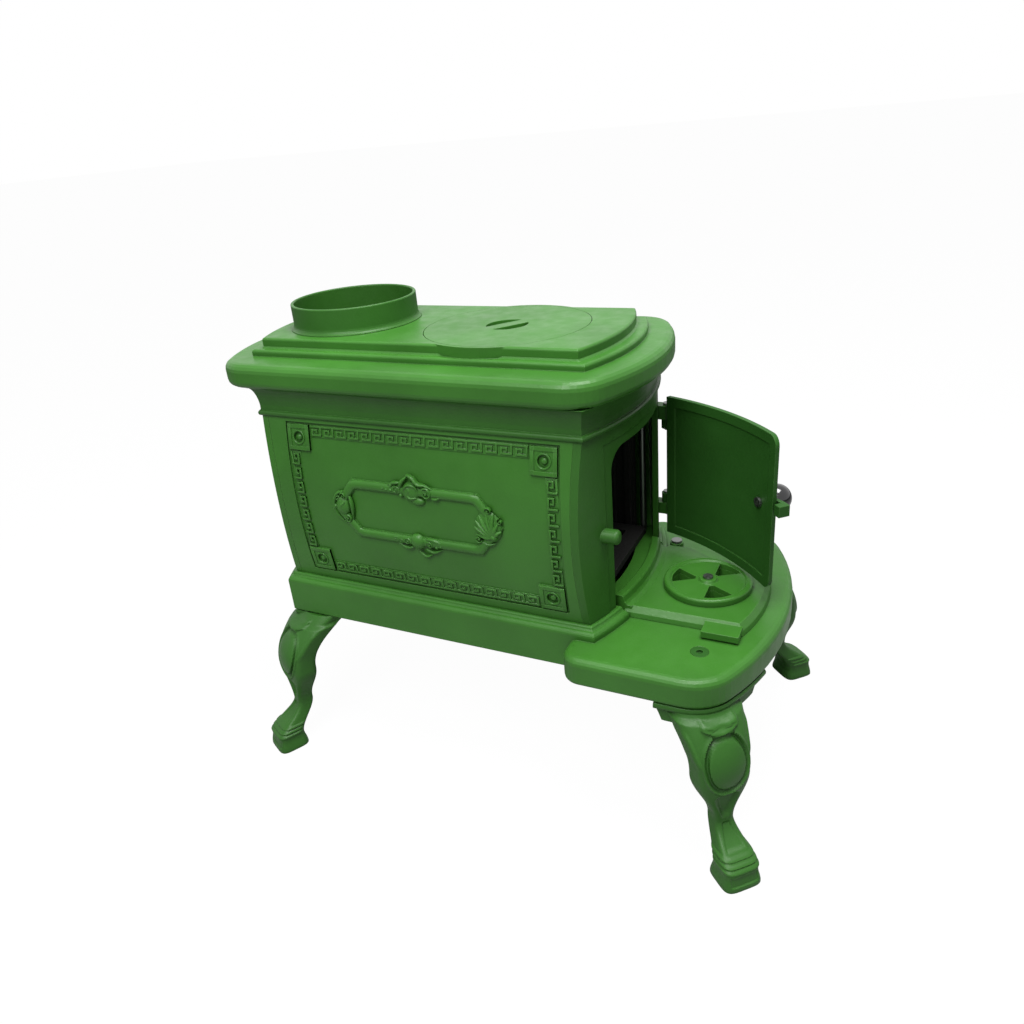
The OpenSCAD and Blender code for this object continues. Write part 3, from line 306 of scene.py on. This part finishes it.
class Relief:
    """Raised shapes drawn in y, z and height over the sunk field of a side
    panel, then laid on the swelled face of one side or the other."""

    def __init__(self):
        self.points, self.faces = [], []

    def add(self, rows):
        """A sheet through rows of equally many (y, z, height) points."""
        start, wide = len(self.points), len(rows[0])
        self.points += [p for row in rows for p in row]
        for r in range(len(rows) - 1):
            for c in range(wide - 1):
                a = start + r * wide + c
                self.faces.append((a, a + 1, a + wide + 1, a + wide))

    def slab(self, corners, low, high, bevel):
        """A raised plate with a bevelled edge; corners go round it."""
        middle = sum((Vector(c) for c in corners), Vector((0, 0))) / len(corners)
        inner = [Vector(c) + (middle - Vector(c)).normalized() * bevel * 1.4 for c in corners]
        ring = list(corners) + [corners[0]]
        inner_ring = inner + [inner[0]]
        wall = [[(*c, z) for c in ring] for z in (low, high - bevel)]
        self.add(wall + [[(*c, high) for c in inner_ring]])
        start = len(self.points)
        self.points += [(*c, high) for c in inner]
        self.faces.append(tuple(range(start, start + len(inner))))

    def ridge(self, path, widths, heights, low, closed=False):
        """A half-round ridge along a path of (y, z) points."""
        path = [Vector(p) for p in path]
        count, rows = len(path), []
        for i, p in enumerate(path):
            before = path[i - 1] if i or closed else p
            after = path[(i + 1) % count] if i < count - 1 or closed else p
            along = (after - before).normalized()
            aside = Vector((-along.y, along.x))
            if closed:
                first, second = (p - before).normalized(), (after - p).normalized()
                aside = Vector((-first.y - second.y, first.x + second.x)).normalized()
                aside /= max(0.5, aside.dot(Vector((-first.y, first.x))))
            rows.append([(*(p + aside * widths[i] / 2 * math.cos(a)), low + heights[i] * math.sin(a))
                         for a in [math.pi * k / 8 for k in range(9)]])
        self.add(rows + [rows[0]] if closed else rows)

    def dome(self, at, ry, rz, low, high):
        """A half ellipsoid."""
        rows = []
        for k in range(7):
            a = math.pi / 2 * k / 6
            row = []
            for j in range(21):
                b = 2 * math.pi * j / 20
                row.append((at[0] + ry * math.cos(a) * math.cos(b), at[1] + rz * math.cos(a) * math.sin(b),
                            low + (high - low) * math.sin(a)))
            rows.append(row)
        self.add(rows)

    def lay(self, name, side):
        """Makes the piece on the side towards -X (-1) or +X (1)."""
        verts = []
        for y, z, h in self.points:
            lean = (z - SWELL_CZ) / SWELL_R
            out = SWELL_CX + math.sqrt(SWELL_R ** 2 - (z - SWELL_CZ) ** 2) - FIELD_DEPTH
            verts.append((side * (out + h * math.sqrt(1 - lean * lean)), y, z + h * lean))
        make_piece(name, verts, self.faces, green, "stove", math.radians(50))


SUNK_IN = mm(-0.6)
KEY_W, KEY_PITCH, KEY_RAIL = mm(15, 18, 2.3)
KEY_BAND, KEY_TOP = mm(0.9, 2.5)
# One turn of the key, across the strip's width and along its pitch
KEY_TURN = ((0, 0), (0, 0.86), (0.74, 0.86), (0.74, 0.34), (0.36, 0.34), (0.36, 0.58))


def key_strip(relief, start, along, across, length):
    """A raised band with a running Greek key between two corner squares."""
    start, along, across = Vector(start), Vector(along), Vector(across)
    end, wide = start + along * length, across * KEY_W
    relief.slab([tuple(c) for c in (start, end, end + wide, start + wide)], SUNK_IN, KEY_BAND, mm(0.4))
    turns = max(1, round(length / KEY_PITCH))
    pitch = length / turns
    inset = KEY_RAIL * 0.7
    usable = KEY_W - 2 * inset
    def at(s, t):
        return start + along * s + across * (inset + usable * t)
    def bar(a, b):
        way = (b - a).normalized() * KEY_RAIL / 2
        aside = Vector((-way.y, way.x))
        a, b = a - way, b + way
        relief.slab([tuple(a + aside), tuple(b + aside), tuple(b - aside), tuple(a - aside)],
                    KEY_BAND - mm(0.3), KEY_TOP, mm(0.35))
    bar(at(inset, 0), at(length - inset, 0))
    for i in range(turns):
        turn = [at((i + 0.12 + s * 0.9) * pitch, t) for s, t in KEY_TURN]
        for a, b in zip(turn, turn[1:]):
            bar(a, b)


def corner_square(relief, y, z):
    """Raised frame with a ring and a small boss in its sunk middle."""
    rail = mm(5)
    for s, t, along in ((0, 0, 1), (0, SQUARE - rail, 1), (0, 0, 0), (SQUARE - rail, 0, 0)):
        ys, zs = (SQUARE, rail) if along else (rail, SQUARE)
        relief.slab([(y + s, z + t), (y + s + ys, z + t), (y + s + ys, z + t + zs), (y + s, z + t + zs)],
                    SUNK_IN, FIELD_DEPTH + mm(1.0), mm(0.6))
    centre = (y + SQUARE / 2, z + SQUARE / 2)
    ring = [(centre[0] + mm(8.2) * math.cos(a), centre[1] + mm(8.2) * math.sin(a))
            for a in [2 * math.pi * k / 28 for k in range(28)]]
    relief.ridge(ring, [mm(2.6)] * 28, [mm(1.5)] * 28, FIELD_DEPTH - mm(0.2), closed=True)
    relief.dome(centre, mm(4.6), mm(4.6), SUNK_IN, mm(2.9))


def border_relief(side, word):
    relief = Relief()
    y0, y1 = FIELD_Y[0] + SQUARE_IN, FIELD_Y[1] - SQUARE_IN - SQUARE
    z0, z1 = FIELD_Z[0] + SQUARE_IN, FIELD_Z[1] - SQUARE_IN - SQUARE
    gap = mm(1.5)
    for y in (y0, y1):
        for z in (z0, z1):
            corner_square(relief, y, z)
    run_y, run_z = y1 - y0 - SQUARE - 2 * gap, z1 - z0 - SQUARE - 2 * gap
    key_strip(relief, (y0 + SQUARE + gap, z1 + SQUARE), (1, 0), (0, -1), run_y)
    key_strip(relief, (y0 + SQUARE + gap, z0), (1, 0), (0, 1), run_y)
    key_strip(relief, (y0, z0 + SQUARE + gap), (0, 1), (1, 0), run_z)
    key_strip(relief, (y1 + SQUARE, z0 + SQUARE + gap), (0, 1), (-1, 0), run_z)
    relief.lay("key_border_" + word, side)


class Motif:
    """Rocaille carving round a point of the cartouche's moulding, drawn in
    millimetres: s is to the left or right of it and t is upwards."""

    def __init__(self, relief, at, way):
        self.relief, self.at, self.way = relief, at, way

    def place(self, s, t):
        return (self.at[0] + mm(self.way * s), self.at[1] + mm(t))

    @staticmethod
    def between(before, first, second, after, u):
        """A smooth curve's value from first to second, with u from 0 to 1."""
        return 0.5 * (2 * first + (second - before) * u
                      + (2 * before - 5 * first + 4 * second - after) * u * u
                      + (3 * first - before - 3 * second + after) * u ** 3)

    def leaf(self, points, wide, high, low=2.4):
        """A tapered, half-round frond through a few points."""
        path = []
        for i in range(len(points) - 1):
            p = [points[max(i - 1, 0)], points[i], points[i + 1], points[min(i + 2, len(points) - 1)]]
            for k in range(5):
                u = k / 5
                path.append([self.between(*[q[c] for q in p], u) for c in (0, 1)])
        path.append(points[-1])
        swell = [max(0.14, math.sin(math.pi * (0.18 + 0.80 * i / (len(path) - 1)))) for i in range(len(path))]
        self.relief.ridge([self.place(*p) for p in path], [mm(wide * w) for w in swell],
                          [mm(high * w) for w in swell], mm(low))

    def scroll(self, s, t, r, start, way, high=3.6):
        """A volute that winds in to a bead."""
        path = [(s + r * (1 - 0.78 * k / 20) * math.cos(start + way * 7.6 * k / 20),
                 t + r * (1 - 0.78 * k / 20) * math.sin(start + way * 7.6 * k / 20)) for k in range(21)]
        self.relief.ridge([self.place(*p) for p in path], [mm(0.48 * r * (1 - 0.02 * k)) for k in range(21)],
                          [mm(high)] * 21, mm(2.2))
        self.boss(s, t, 0.30 * r, 0.30 * r, high + 2.8)

    def boss(self, s, t, rs, rt, high):
        self.relief.dome(self.place(s, t), mm(rs), mm(rt), mm(1.6), mm(high))


def crest(relief, at):
    """Leaves over a boss, on the middle of the upper moulding."""
    m = Motif(relief, at, -1)
    m.boss(-1, -1, 12, 12.5, 7.4)
    m.boss(8, -12, 9, 5, 5.4)
    m.leaf([(-15, 3), (-11, 11), (-3, 19)], 6.0, 4.6, 3.0)
    m.leaf([(-4, 20), (4, 17), (11, 10), (20, 9), (31, 4)], 5.4, 5.0, 3.0)
    m.leaf([(-9, 2), (-2, 8), (6, 7), (11, 1)], 4.4, 3.4, 5.0)
    m.leaf([(-6, -4), (0, -8), (8, -7)], 3.6, 2.6, 5.2)
    m.leaf([(-3, 6), (-1, 1), (-4, -5)], 3.2, 2.6, 5.6)
    m.scroll(21, -1, 7.4, math.pi * 0.7, -1, 4.4)
    m.leaf([(27, -6), (34, -6), (40, -3)], 4.4, 3.4)
    m.leaf([(-15, 9), (-24, 8), (-34, 3)], 4.6, 3.6)
    m.scroll(-20, 0, 5.0, 0, 1, 3.8)
    for s, t, r in ((-28, -1, 3.2), (-34, -1, 2.6), (-27, 5, 2.4), (-14, -6, 3.0), (-39, 0, 2.0)):
        m.boss(s, t, r, r, 6.4)


def pendant(relief, at):
    """A ball between small curls, on the middle of the lower moulding."""
    m = Motif(relief, at, -1)
    m.boss(0, 0, 10.5, 10.5, 8.6)
    m.scroll(-14, -1, 5.0, 0, 1, 3.8)
    m.scroll(-23, -2, 4.0, math.pi, -1, 3.4)
    m.leaf([(-8, -9), (-18, -10), (-31, -4)], 4.0, 3.2)
    m.leaf([(-26, 3), (-33, 2), (-39, 0)], 3.8, 3.0)
    m.scroll(17, -2, 5.0, math.pi, -1, 3.8)
    m.leaf([(12, 5), (22, 5), (31, 2), (41, 0)], 4.6, 3.6)
    m.leaf([(11, -9), (21, -12), (33, -7)], 4.2, 3.2)
    m.leaf([(0, -13), (7, -19), (14, -18), (20, -12)], 3.6, 3.0, 2.0)
    for s, t, r in ((26, -4, 2.8), (32, -2, 2.2), (-31, 0, 2.2)):
        m.boss(s, t, r, r, 6.0)


def oval_end(relief, at):
    """An oval boss with curls, over the cartouche's back end."""
    m = Motif(relief, at, 1)
    m.boss(0, 2, 10, 13.5, 7.8)
    m.leaf([(-12, 17), (-14, 3), (-12, -15)], 5.0, 4.0)
    m.leaf([(-4, 22), (6, 18), (12, 7), (12, -5), (6, -15), (-3, -23)], 5.4, 4.4, 2.2)
    m.scroll(-3, 16, 4.6, 0, 1, 4.4)
    m.scroll(5, 12, 3.8, math.pi, -1, 4.0)
    m.scroll(-6, -14, 5.2, math.pi / 2, 1, 4.4)
    m.leaf([(-5, 8), (0, 3), (-2, -6)], 3.4, 2.4, 6.0)
    m.leaf([(4, 6), (5, 0), (2, -6)], 3.0, 2.2, 5.8)
    m.boss(10, 1, 2.8, 3.6, 6.6)


def shell_end(relief, at):
    """A fan shell, over the cartouche's front end."""
    m = Motif(relief, at, 1)
    m.boss(0, 0, 17, 20, 5.6)
    root = (-7, -11)
    for s, t in ((16, 7), (18, -1), (16, -10), (11, 15), (1, 20), (-9, 19), (-15, 9), (-17, -3)):
        middle = (0.5 * (root[0] + s) + 0.10 * t, 0.5 * (root[1] + t) - 0.10 * s)
        m.leaf([root, middle, (s, t)], 6.0, 4.6, 3.4)
    m.scroll(-2, 21, 4.4, 0, 1, 4.2)
    m.scroll(-16, 10, 3.8, math.pi / 2, -1, 4.0)
    m.scroll(13, -16, 4.6, math.pi, 1, 4.2)
    m.boss(*root, 5.0, 5.0, 8.4)
    m.leaf([(10, -19), (2, -22), (-8, -20)], 4.6, 3.6)


def cartouche_relief(side, word):
    moulding = Relief()
    inset = CART_W / 2
    tip, straight, high = CART_TIP - inset, CART_STRAIGHT - 0.4 * inset, CART_HH - inset
    outline = [(tip, 0), (straight, high), (-straight, high),
               (-tip, 0), (-straight, -high), (straight, -high)]
    path = []
    for (y0, z0), (y1, z1) in zip(outline, outline[1:] + outline[:1]):
        for k in range(14):
            u = 0.04 + 0.92 * k / 13
            path.append((CART.x + y0 + (y1 - y0) * u, CART.y + z0 + (z1 - z0) * u))
    count = len(path)
    moulding.ridge(path, [CART_W * 0.94] * count, [mm(3.0)] * count, FIELD_DEPTH - mm(0.4), closed=True)
    moulding.lay("cartouche_moulding_" + word, side)
    carving = Relief()
    crest(carving, (CART.x, CART.y + CART_HH - inset))
    pendant(carving, (CART.x, CART.y - CART_HH + inset))
    oval_end(carving, (CART.x + mm(103), CART.y))
    shell_end(carving, (CART.x - mm(99), CART.y))
    carving.lay("rocaille_" + word, side)


for side, word in ((-1, "left"), (1, "right")):
    border_relief(side, word)
    cartouche_relief(side, word)


# ---- carved legs ---------------------------------------------------------------

SQUARENESS = 0.45
FOOT_REACH, TOE_D, TOE_W, TOE_H, SOLE = 57, 38, 42, 18, 2.7
ANKLE_OUT, ANKLE_D, ANKLE_W, ANKLE_H = 16.5, 22, 24, 63
KNEE_OUT, KNEE_D, KNEE_W, KNEE_H, KNEE_FALL = 21, 35, 64, 120, 2
HIP_D, HIP_W, HIP_FALL = 40, 92, 20
MEDAL_Z, MEDAL_HW, MEDAL_HH = 141, 24.5, 33
LIP_RECESS = 4.5
RINGS_A_LEG, POINTS_A_RING = 210, 128


def leg_forms(top, hip_out):
    """Height, front face, depth, width and fall of the flanks at five heights."""
    return ((0, FOOT_REACH + SOLE, TOE_D + 2 * SOLE, TOE_W + 2 * SOLE, 0),
            (TOE_H, FOOT_REACH, TOE_D, TOE_W, 0), (ANKLE_H, ANKLE_OUT, ANKLE_D, ANKLE_W, 0),
            (KNEE_H, KNEE_OUT, KNEE_D, KNEE_W, KNEE_FALL), (top, hip_out, HIP_D, HIP_W, HIP_FALL))


def form_at(forms, z):
    """The leg's front face, depth, width and fall at the height z."""
    for k, (low, high) in enumerate(zip(forms, forms[1:])):
        if z <= high[0] or k == len(forms) - 2:
            t = min(1, (z - low[0]) / (high[0] - low[0]))
            ease = t * t if k == len(forms) - 2 else (1 - math.cos(math.pi * t)) / 2
            return [low[i] + (high[i] - low[i]) * ease for i in range(1, 5)]


def step(x, low, high):
    """0 below low, 1 above high, smooth between."""
    t = max(0.0, min(1.0, (x - low) / (high - low)))
    return t * t * (3 - 2 * t)


def carving(v, z, facing):
    """How far the leg's carving stands out at the lateral place v and height z,
    in millimetres; facing is 1 on the front face and falls to 0 on the sides."""
    out = 0.0
    # a crowned oval medallion, the groove round it and a low rim
    oval = math.hypot(v / MEDAL_HW, (z - MEDAL_Z) / MEDAL_HH)
    out += facing * 3.4 * (1 - oval * oval) * (oval < 0.9)
    out -= facing * 3.0 * step(oval, 0.88, 0.94) * (1 - step(oval, 1.02, 1.08))
    out += facing * 1.8 * step(oval, 1.04, 1.09) * (1 - step(oval, 1.12, 1.20))
    # a ribbon that dips over the medallion, with a furrow along it
    ribbon = z - (MEDAL_Z + MEDAL_HH - 3 + 0.42 * abs(v))
    out += facing * 3.6 * step(-abs(ribbon - 4.5), -5.6, -3.4) * (1 - step(abs(v), 20, 23))
    out -= facing * 1.4 * step(-abs(ribbon - 4.5), -1.0, -0.2) * (1 - step(abs(v), 14, 18))
    # a curl up each flank
    leaf = abs(v) - (30 + 0.20 * (z - 140))
    out += 1.6 * step(-abs(leaf), -3.2, -0.8) * step(z, 136, 150) * (1 - step(z, 170, 180))
    # a scoop under the medallion, then a sunk panel down the shin
    scoop = 5 + 12 * step(z, 62, 100)
    out -= facing * 4.4 * step(-abs(v), -scoop, -0.5 * scoop) * step(z, 64, 74) * (1 - step(z, 97, 103))
    panel = 5 + 7.5 * (1 - step(z, 36, 60))
    out -= facing * 2.2 * step(-abs(v), -panel, -panel + 1.2) * step(z, 38, 40) * (1 - step(z, 57, 61))
    # three bands above the toe block, and the block's sunk face
    for low in (32, 27, 22):
        out += 1.8 * step(z, low, low + 1) * (1 - step(z, low + 2.8, low + 4))
    out -= facing * 1.5 * step(-abs(v), -17.5, -16.3) * step(z, 5.5, 6.5) * (1 - step(z, 17.5, 18.5))
    return out


def leg_body(top, hip_out):
    """Rings of the carved leg in its own frame, +X towards the toe."""
    forms = leg_forms(top, hip_out)
    rings = []
    for k in range(RINGS_A_LEG + 1):
        z = top * k / RINGS_A_LEG
        out, deep, wide, fall = form_at(forms, z)
        ring = []
        for i in range(POINTS_A_RING):
            a = 2 * math.pi * i / POINTS_A_RING
            c = math.copysign(abs(math.cos(a)) ** SQUARENESS, math.cos(a))
            s = math.copysign(abs(math.sin(a)) ** SQUARENESS, math.sin(a))
            facing = step(math.cos(a), 0.35, 0.75)
            around = step(math.cos(a), -0.6, -0.1)
            rise = carving(wide / 2 * s, z, facing) * around * step(top - z, 1, 8)
            rise -= LIP_RECESS * around * step(z, top - 15, top - 10)
            ring.append((out - deep / 2 + deep / 2 * c - fall * s * s + rise * math.cos(a),
                         wide / 2 * s + rise * math.sin(a), z))
        rings.append(ring)
    return rings


# Where the legs stand and how far their brackets reach, in millimetres
HEARTH_HW, HEARTH_BOW, HEARTH_CORNER = 182, 340, 54
PLINTH_OUT = 12
FRONT_AXIS = (173, FRONT_Y * 1000 - 158)
REAR_AXIS = (164, BACK_Y * 1000 + 2)
FRONT_SCREW = (FRONT_AXIS[0] - 51, FRONT_AXIS[1] + 35)
REAR_SCREW = (REAR_AXIS[0] - 52, REAR_AXIS[1] - 28)
FRONT_TURN, REAR_TURN = math.radians(-45), math.radians(28)
FRONT_HIP_OUT, REAR_HIP_OUT = -10, -20
BRACKET_FRONT_X, BRACKET_FRONT_L = 83, 71
BRACKET_REAR_L, BRACKET_REAR_IN = 48, 60


def front_plan(inset):
    """The hearth's lower edge over a front leg, from the middle to the side."""
    hw, bow, corner = HEARTH_HW, HEARTH_BOW, HEARTH_CORNER
    front = (FRONT_Y - HEARTH_L) * 1000
    cx = hw - corner
    cy = front + bow - math.sqrt((bow - corner) ** 2 - cx ** 2)
    lean = math.asin(cx / (bow - corner))
    start = math.asin(BRACKET_FRONT_X / bow)
    points = [((bow - inset) * math.sin(a), front + bow - (bow - inset) * math.cos(a))
              for a in [start + (lean - start) * k / 10 for k in range(10)]]
    points += [(cx + (corner - inset) * math.sin(a), cy - (corner - inset) * math.cos(a))
               for a in [lean + (math.pi / 2 - lean) * k / 14 for k in range(15)]]
    end = FRONT_AXIS[1] + BRACKET_FRONT_L
    return points + [(hw - inset, cy + (end - cy) * k / 8) for k in range(1, 9)]


def rear_plan(inset):
    """The plinth's lower edge over a rear leg, from the side round to the back."""
    hw, bow = BODY_HW * 1000 + PLINTH_OUT - inset, BOW_R * 1000 + PLINTH_OUT - inset
    centre = BACK_CY * 1000
    start, end = REAR_AXIS[1] - BRACKET_REAR_L, REAR_AXIS[0] - BRACKET_REAR_IN
    corner = centre + math.sqrt(bow ** 2 - hw ** 2)
    points = [(hw, start + (corner - start) * k / 10) for k in range(11)]
    return points + [(x, centre + math.sqrt(bow ** 2 - x ** 2))
                     for x in [hw + (end - hw) * k / 8 for k in range(1, 9)]]


BRACKET_H, BRACKET_STEP, BRACKET_FOOT, BRACKET_RISE = 28, 8, 2.5, 2.2
# The bracket's section: inset from the edge above, and share of its height
BRACKET_SECTION = ((4.5, 0), (1.6, -1.2), (0.6, -3.4), (0.8, -6.2), (2.6, -8.4), (6.4, -9.2), (9, -10.4),
                   (9, None), (16.5, None), (16.5, 0))


def bracket_rings(plan):
    """Closed sections of the bracket along its casting's edge."""
    lines = [plan(inset) for inset, _ in BRACKET_SECTION]
    total = len(lines[0])
    rings = []
    for k in range(total):
        place, x, y = [], 0, 0
        near = min(k, total - 1 - k) / BRACKET_RISE
        shallow = BRACKET_STEP + BRACKET_FOOT
        depth = shallow + (BRACKET_H - shallow) * step(near, 0, 1)
        for line, (_, z) in zip(lines, BRACKET_SECTION):
            x, y = line[k]
            place.append((x, y, -depth if z is None else z))
        rings.append(place)
    return rings


def add_loft(verts, faces, rings):
    """Joins closed rings of points and closes both ends."""
    start, wide = len(verts), len(rings[0])
    verts += [p for ring in rings for p in ring]
    for r in range(len(rings) - 1):
        for c in range(wide):
            a, b = start + r * wide + c, start + r * wide + (c + 1) % wide
            faces.append((a, b, b + wide, a + wide))
    faces.append(tuple(range(start, start + wide)))
    faces.append(tuple(range(start + (len(rings) - 1) * wide, start + len(rings) * wide)))


PAD_T, PAD_SCREW_R, PAD_LEG_R = 8, 14, 16


def pad_rings(screw, middle, top):
    """The flat pad from the leg's top to its screw."""
    along = Vector(middle) - Vector(screw)
    facing = math.atan2(along.y, along.x)
    outline = []
    for (x, y), r, start in ((screw, PAD_SCREW_R, math.pi / 2), (middle, PAD_LEG_R, -math.pi / 2)):
        outline += [(x + r * math.cos(facing + a), y + r * math.sin(facing + a))
                    for a in [start + math.pi * k / 12 for k in range(13)]]
    return [[(x, y, z) for x, y in outline] for z in (top - PAD_T, top)]


def carved_leg(node, front, side):
    """One leg with its bracket and pad, in place of its plain node."""
    top = (Z_BASE if front else Z_PLINTH) * 1000
    hip_out = FRONT_HIP_OUT if front else REAR_HIP_OUT
    axis, screw = (FRONT_AXIS, FRONT_SCREW) if front else (REAR_AXIS, REAR_SCREW)
    turn = FRONT_TURN if front else REAR_TURN
    verts, faces = [], []
    add_loft(verts, faces, [[(axis[0] + u * math.cos(turn) - v * math.sin(turn),
                              axis[1] + u * math.sin(turn) + v * math.cos(turn), z) for u, v, z in ring]
                            for ring in leg_body(top, hip_out)])
    add_loft(verts, faces, [[(x, y, top + z) for x, y, z in ring]
                            for ring in bracket_rings(front_plan if front else rear_plan)])
    reach = hip_out - HIP_D / 2
    middle = (axis[0] + reach * math.cos(turn), axis[1] + reach * math.sin(turn))
    add_loft(verts, faces, pad_rings(screw, middle, top))
    # The carved legs take the darker green copy, which is painted shade
    piece = make_piece(node + "_carved", [tuple(mm(side * x, y, z)) for x, y, z in verts], faces,
                       green_shade_copy, "stove", math.radians(40))
    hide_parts(node)


for word, side in (("left", -1), ("right", 1)):
    carved_leg("leg_front_" + word, True, side)
    carved_leg("leg_rear_" + word, False, side)


# ---- room, light and background --------------------------------------------------

def make_floor():
    """Floor that the camera sees as almost pure white. Only a trace of the
    object's shadow is left in it, and reflections show its own grey."""
    mesh = bpy.data.meshes.new("floor")
    half = 40.0
    corners = [(-half, -half, 0), (half, -half, 0), (half, half, 0), (-half, half, 0)]
    mesh.from_pydata(corners, [], [(0, 1, 2, 3)])
    floor = bpy.data.objects.new("floor", mesh)
    bpy.context.collection.objects.link(floor)
    material, nodes, links, shader = new_material("pale_floor")
    shader.inputs["Base Color"].default_value = (0.40, 0.40, 0.40, 1)
    shader.inputs["Roughness"].default_value = 0.9
    shader.inputs["Specular IOR Level"].default_value = 0.1
    white = nodes.new("ShaderNodeEmission")
    white.inputs["Color"].default_value = (1, 1, 1, 1)
    white.inputs["Strength"].default_value = 1.05
    seen = nodes.new("ShaderNodeLightPath")
    share = ramp(nodes, links, seen.outputs["Is Camera Ray"], 0, 1, 0, 0.93)
    blend = nodes.new("ShaderNodeMixShader")
    links.new(share, blend.inputs["Fac"])
    links.new(shader.outputs["BSDF"], blend.inputs[1])
    links.new(white.outputs["Emission"], blend.inputs[2])
    links.new(blend.outputs["Shader"], nodes["Material Output"].inputs["Surface"])
    mesh.materials.append(material)


def make_world():
    """Soft light, seen as white by the camera and in reflections."""
    world = bpy.data.worlds.new("room")
    bpy.context.scene.world = world
    world.use_nodes = True
    nodes, links = world.node_tree.nodes, world.node_tree.links
    light = nodes["Background"]
    light.inputs["Color"].default_value = (0.95, 0.97, 1.0, 1)
    light.inputs["Strength"].default_value = 0.10
    white = nodes.new("ShaderNodeBackground")
    white.inputs["Strength"].default_value = 1.0
    white.inputs["Color"].default_value = (1, 1, 1, 1)
    seen = nodes.new("ShaderNodeLightPath")
    blend = nodes.new("ShaderNodeMixShader")
    either = nodes.new("ShaderNodeMath")
    either.operation = "MAXIMUM"
    links.new(seen.outputs["Is Camera Ray"], either.inputs[0])
    links.new(seen.outputs["Is Glossy Ray"], either.inputs[1])
    links.new(either.outputs["Value"], blend.inputs["Fac"])
    links.new(light.outputs["Background"], blend.inputs[1])
    links.new(white.outputs["Background"], blend.inputs[2])
    links.new(blend.outputs["Shader"], nodes["World Output"].inputs["Surface"])


def make_lamp(name, at, aim, size, power):
    """A square soft lamp turned to what it lights."""
    data = bpy.data.lights.new(name, "AREA")
    data.size = size
    data.energy = power
    lamp = bpy.data.objects.new(name, data)
    bpy.context.collection.objects.link(lamp)
    lamp.location = at
    lamp.rotation_euler = (Vector(aim) - Vector(at)).to_track_quat("-Z", "Y").to_euler()


MIDDLE = (0, 0, 0.35)
make_floor()
make_world()
make_lamp("key", (-1.6, 0.0, 2.3), MIDDLE, 1.2, 47)
make_lamp("overhead", (-0.1, -0.5, 2.6), MIDDLE, 1.2, 68)
make_lamp("side", (-2.1, -0.2, 1.8), MIDDLE, 1.2, 4)
bpy.context.scene.view_settings.view_transform = "Standard"
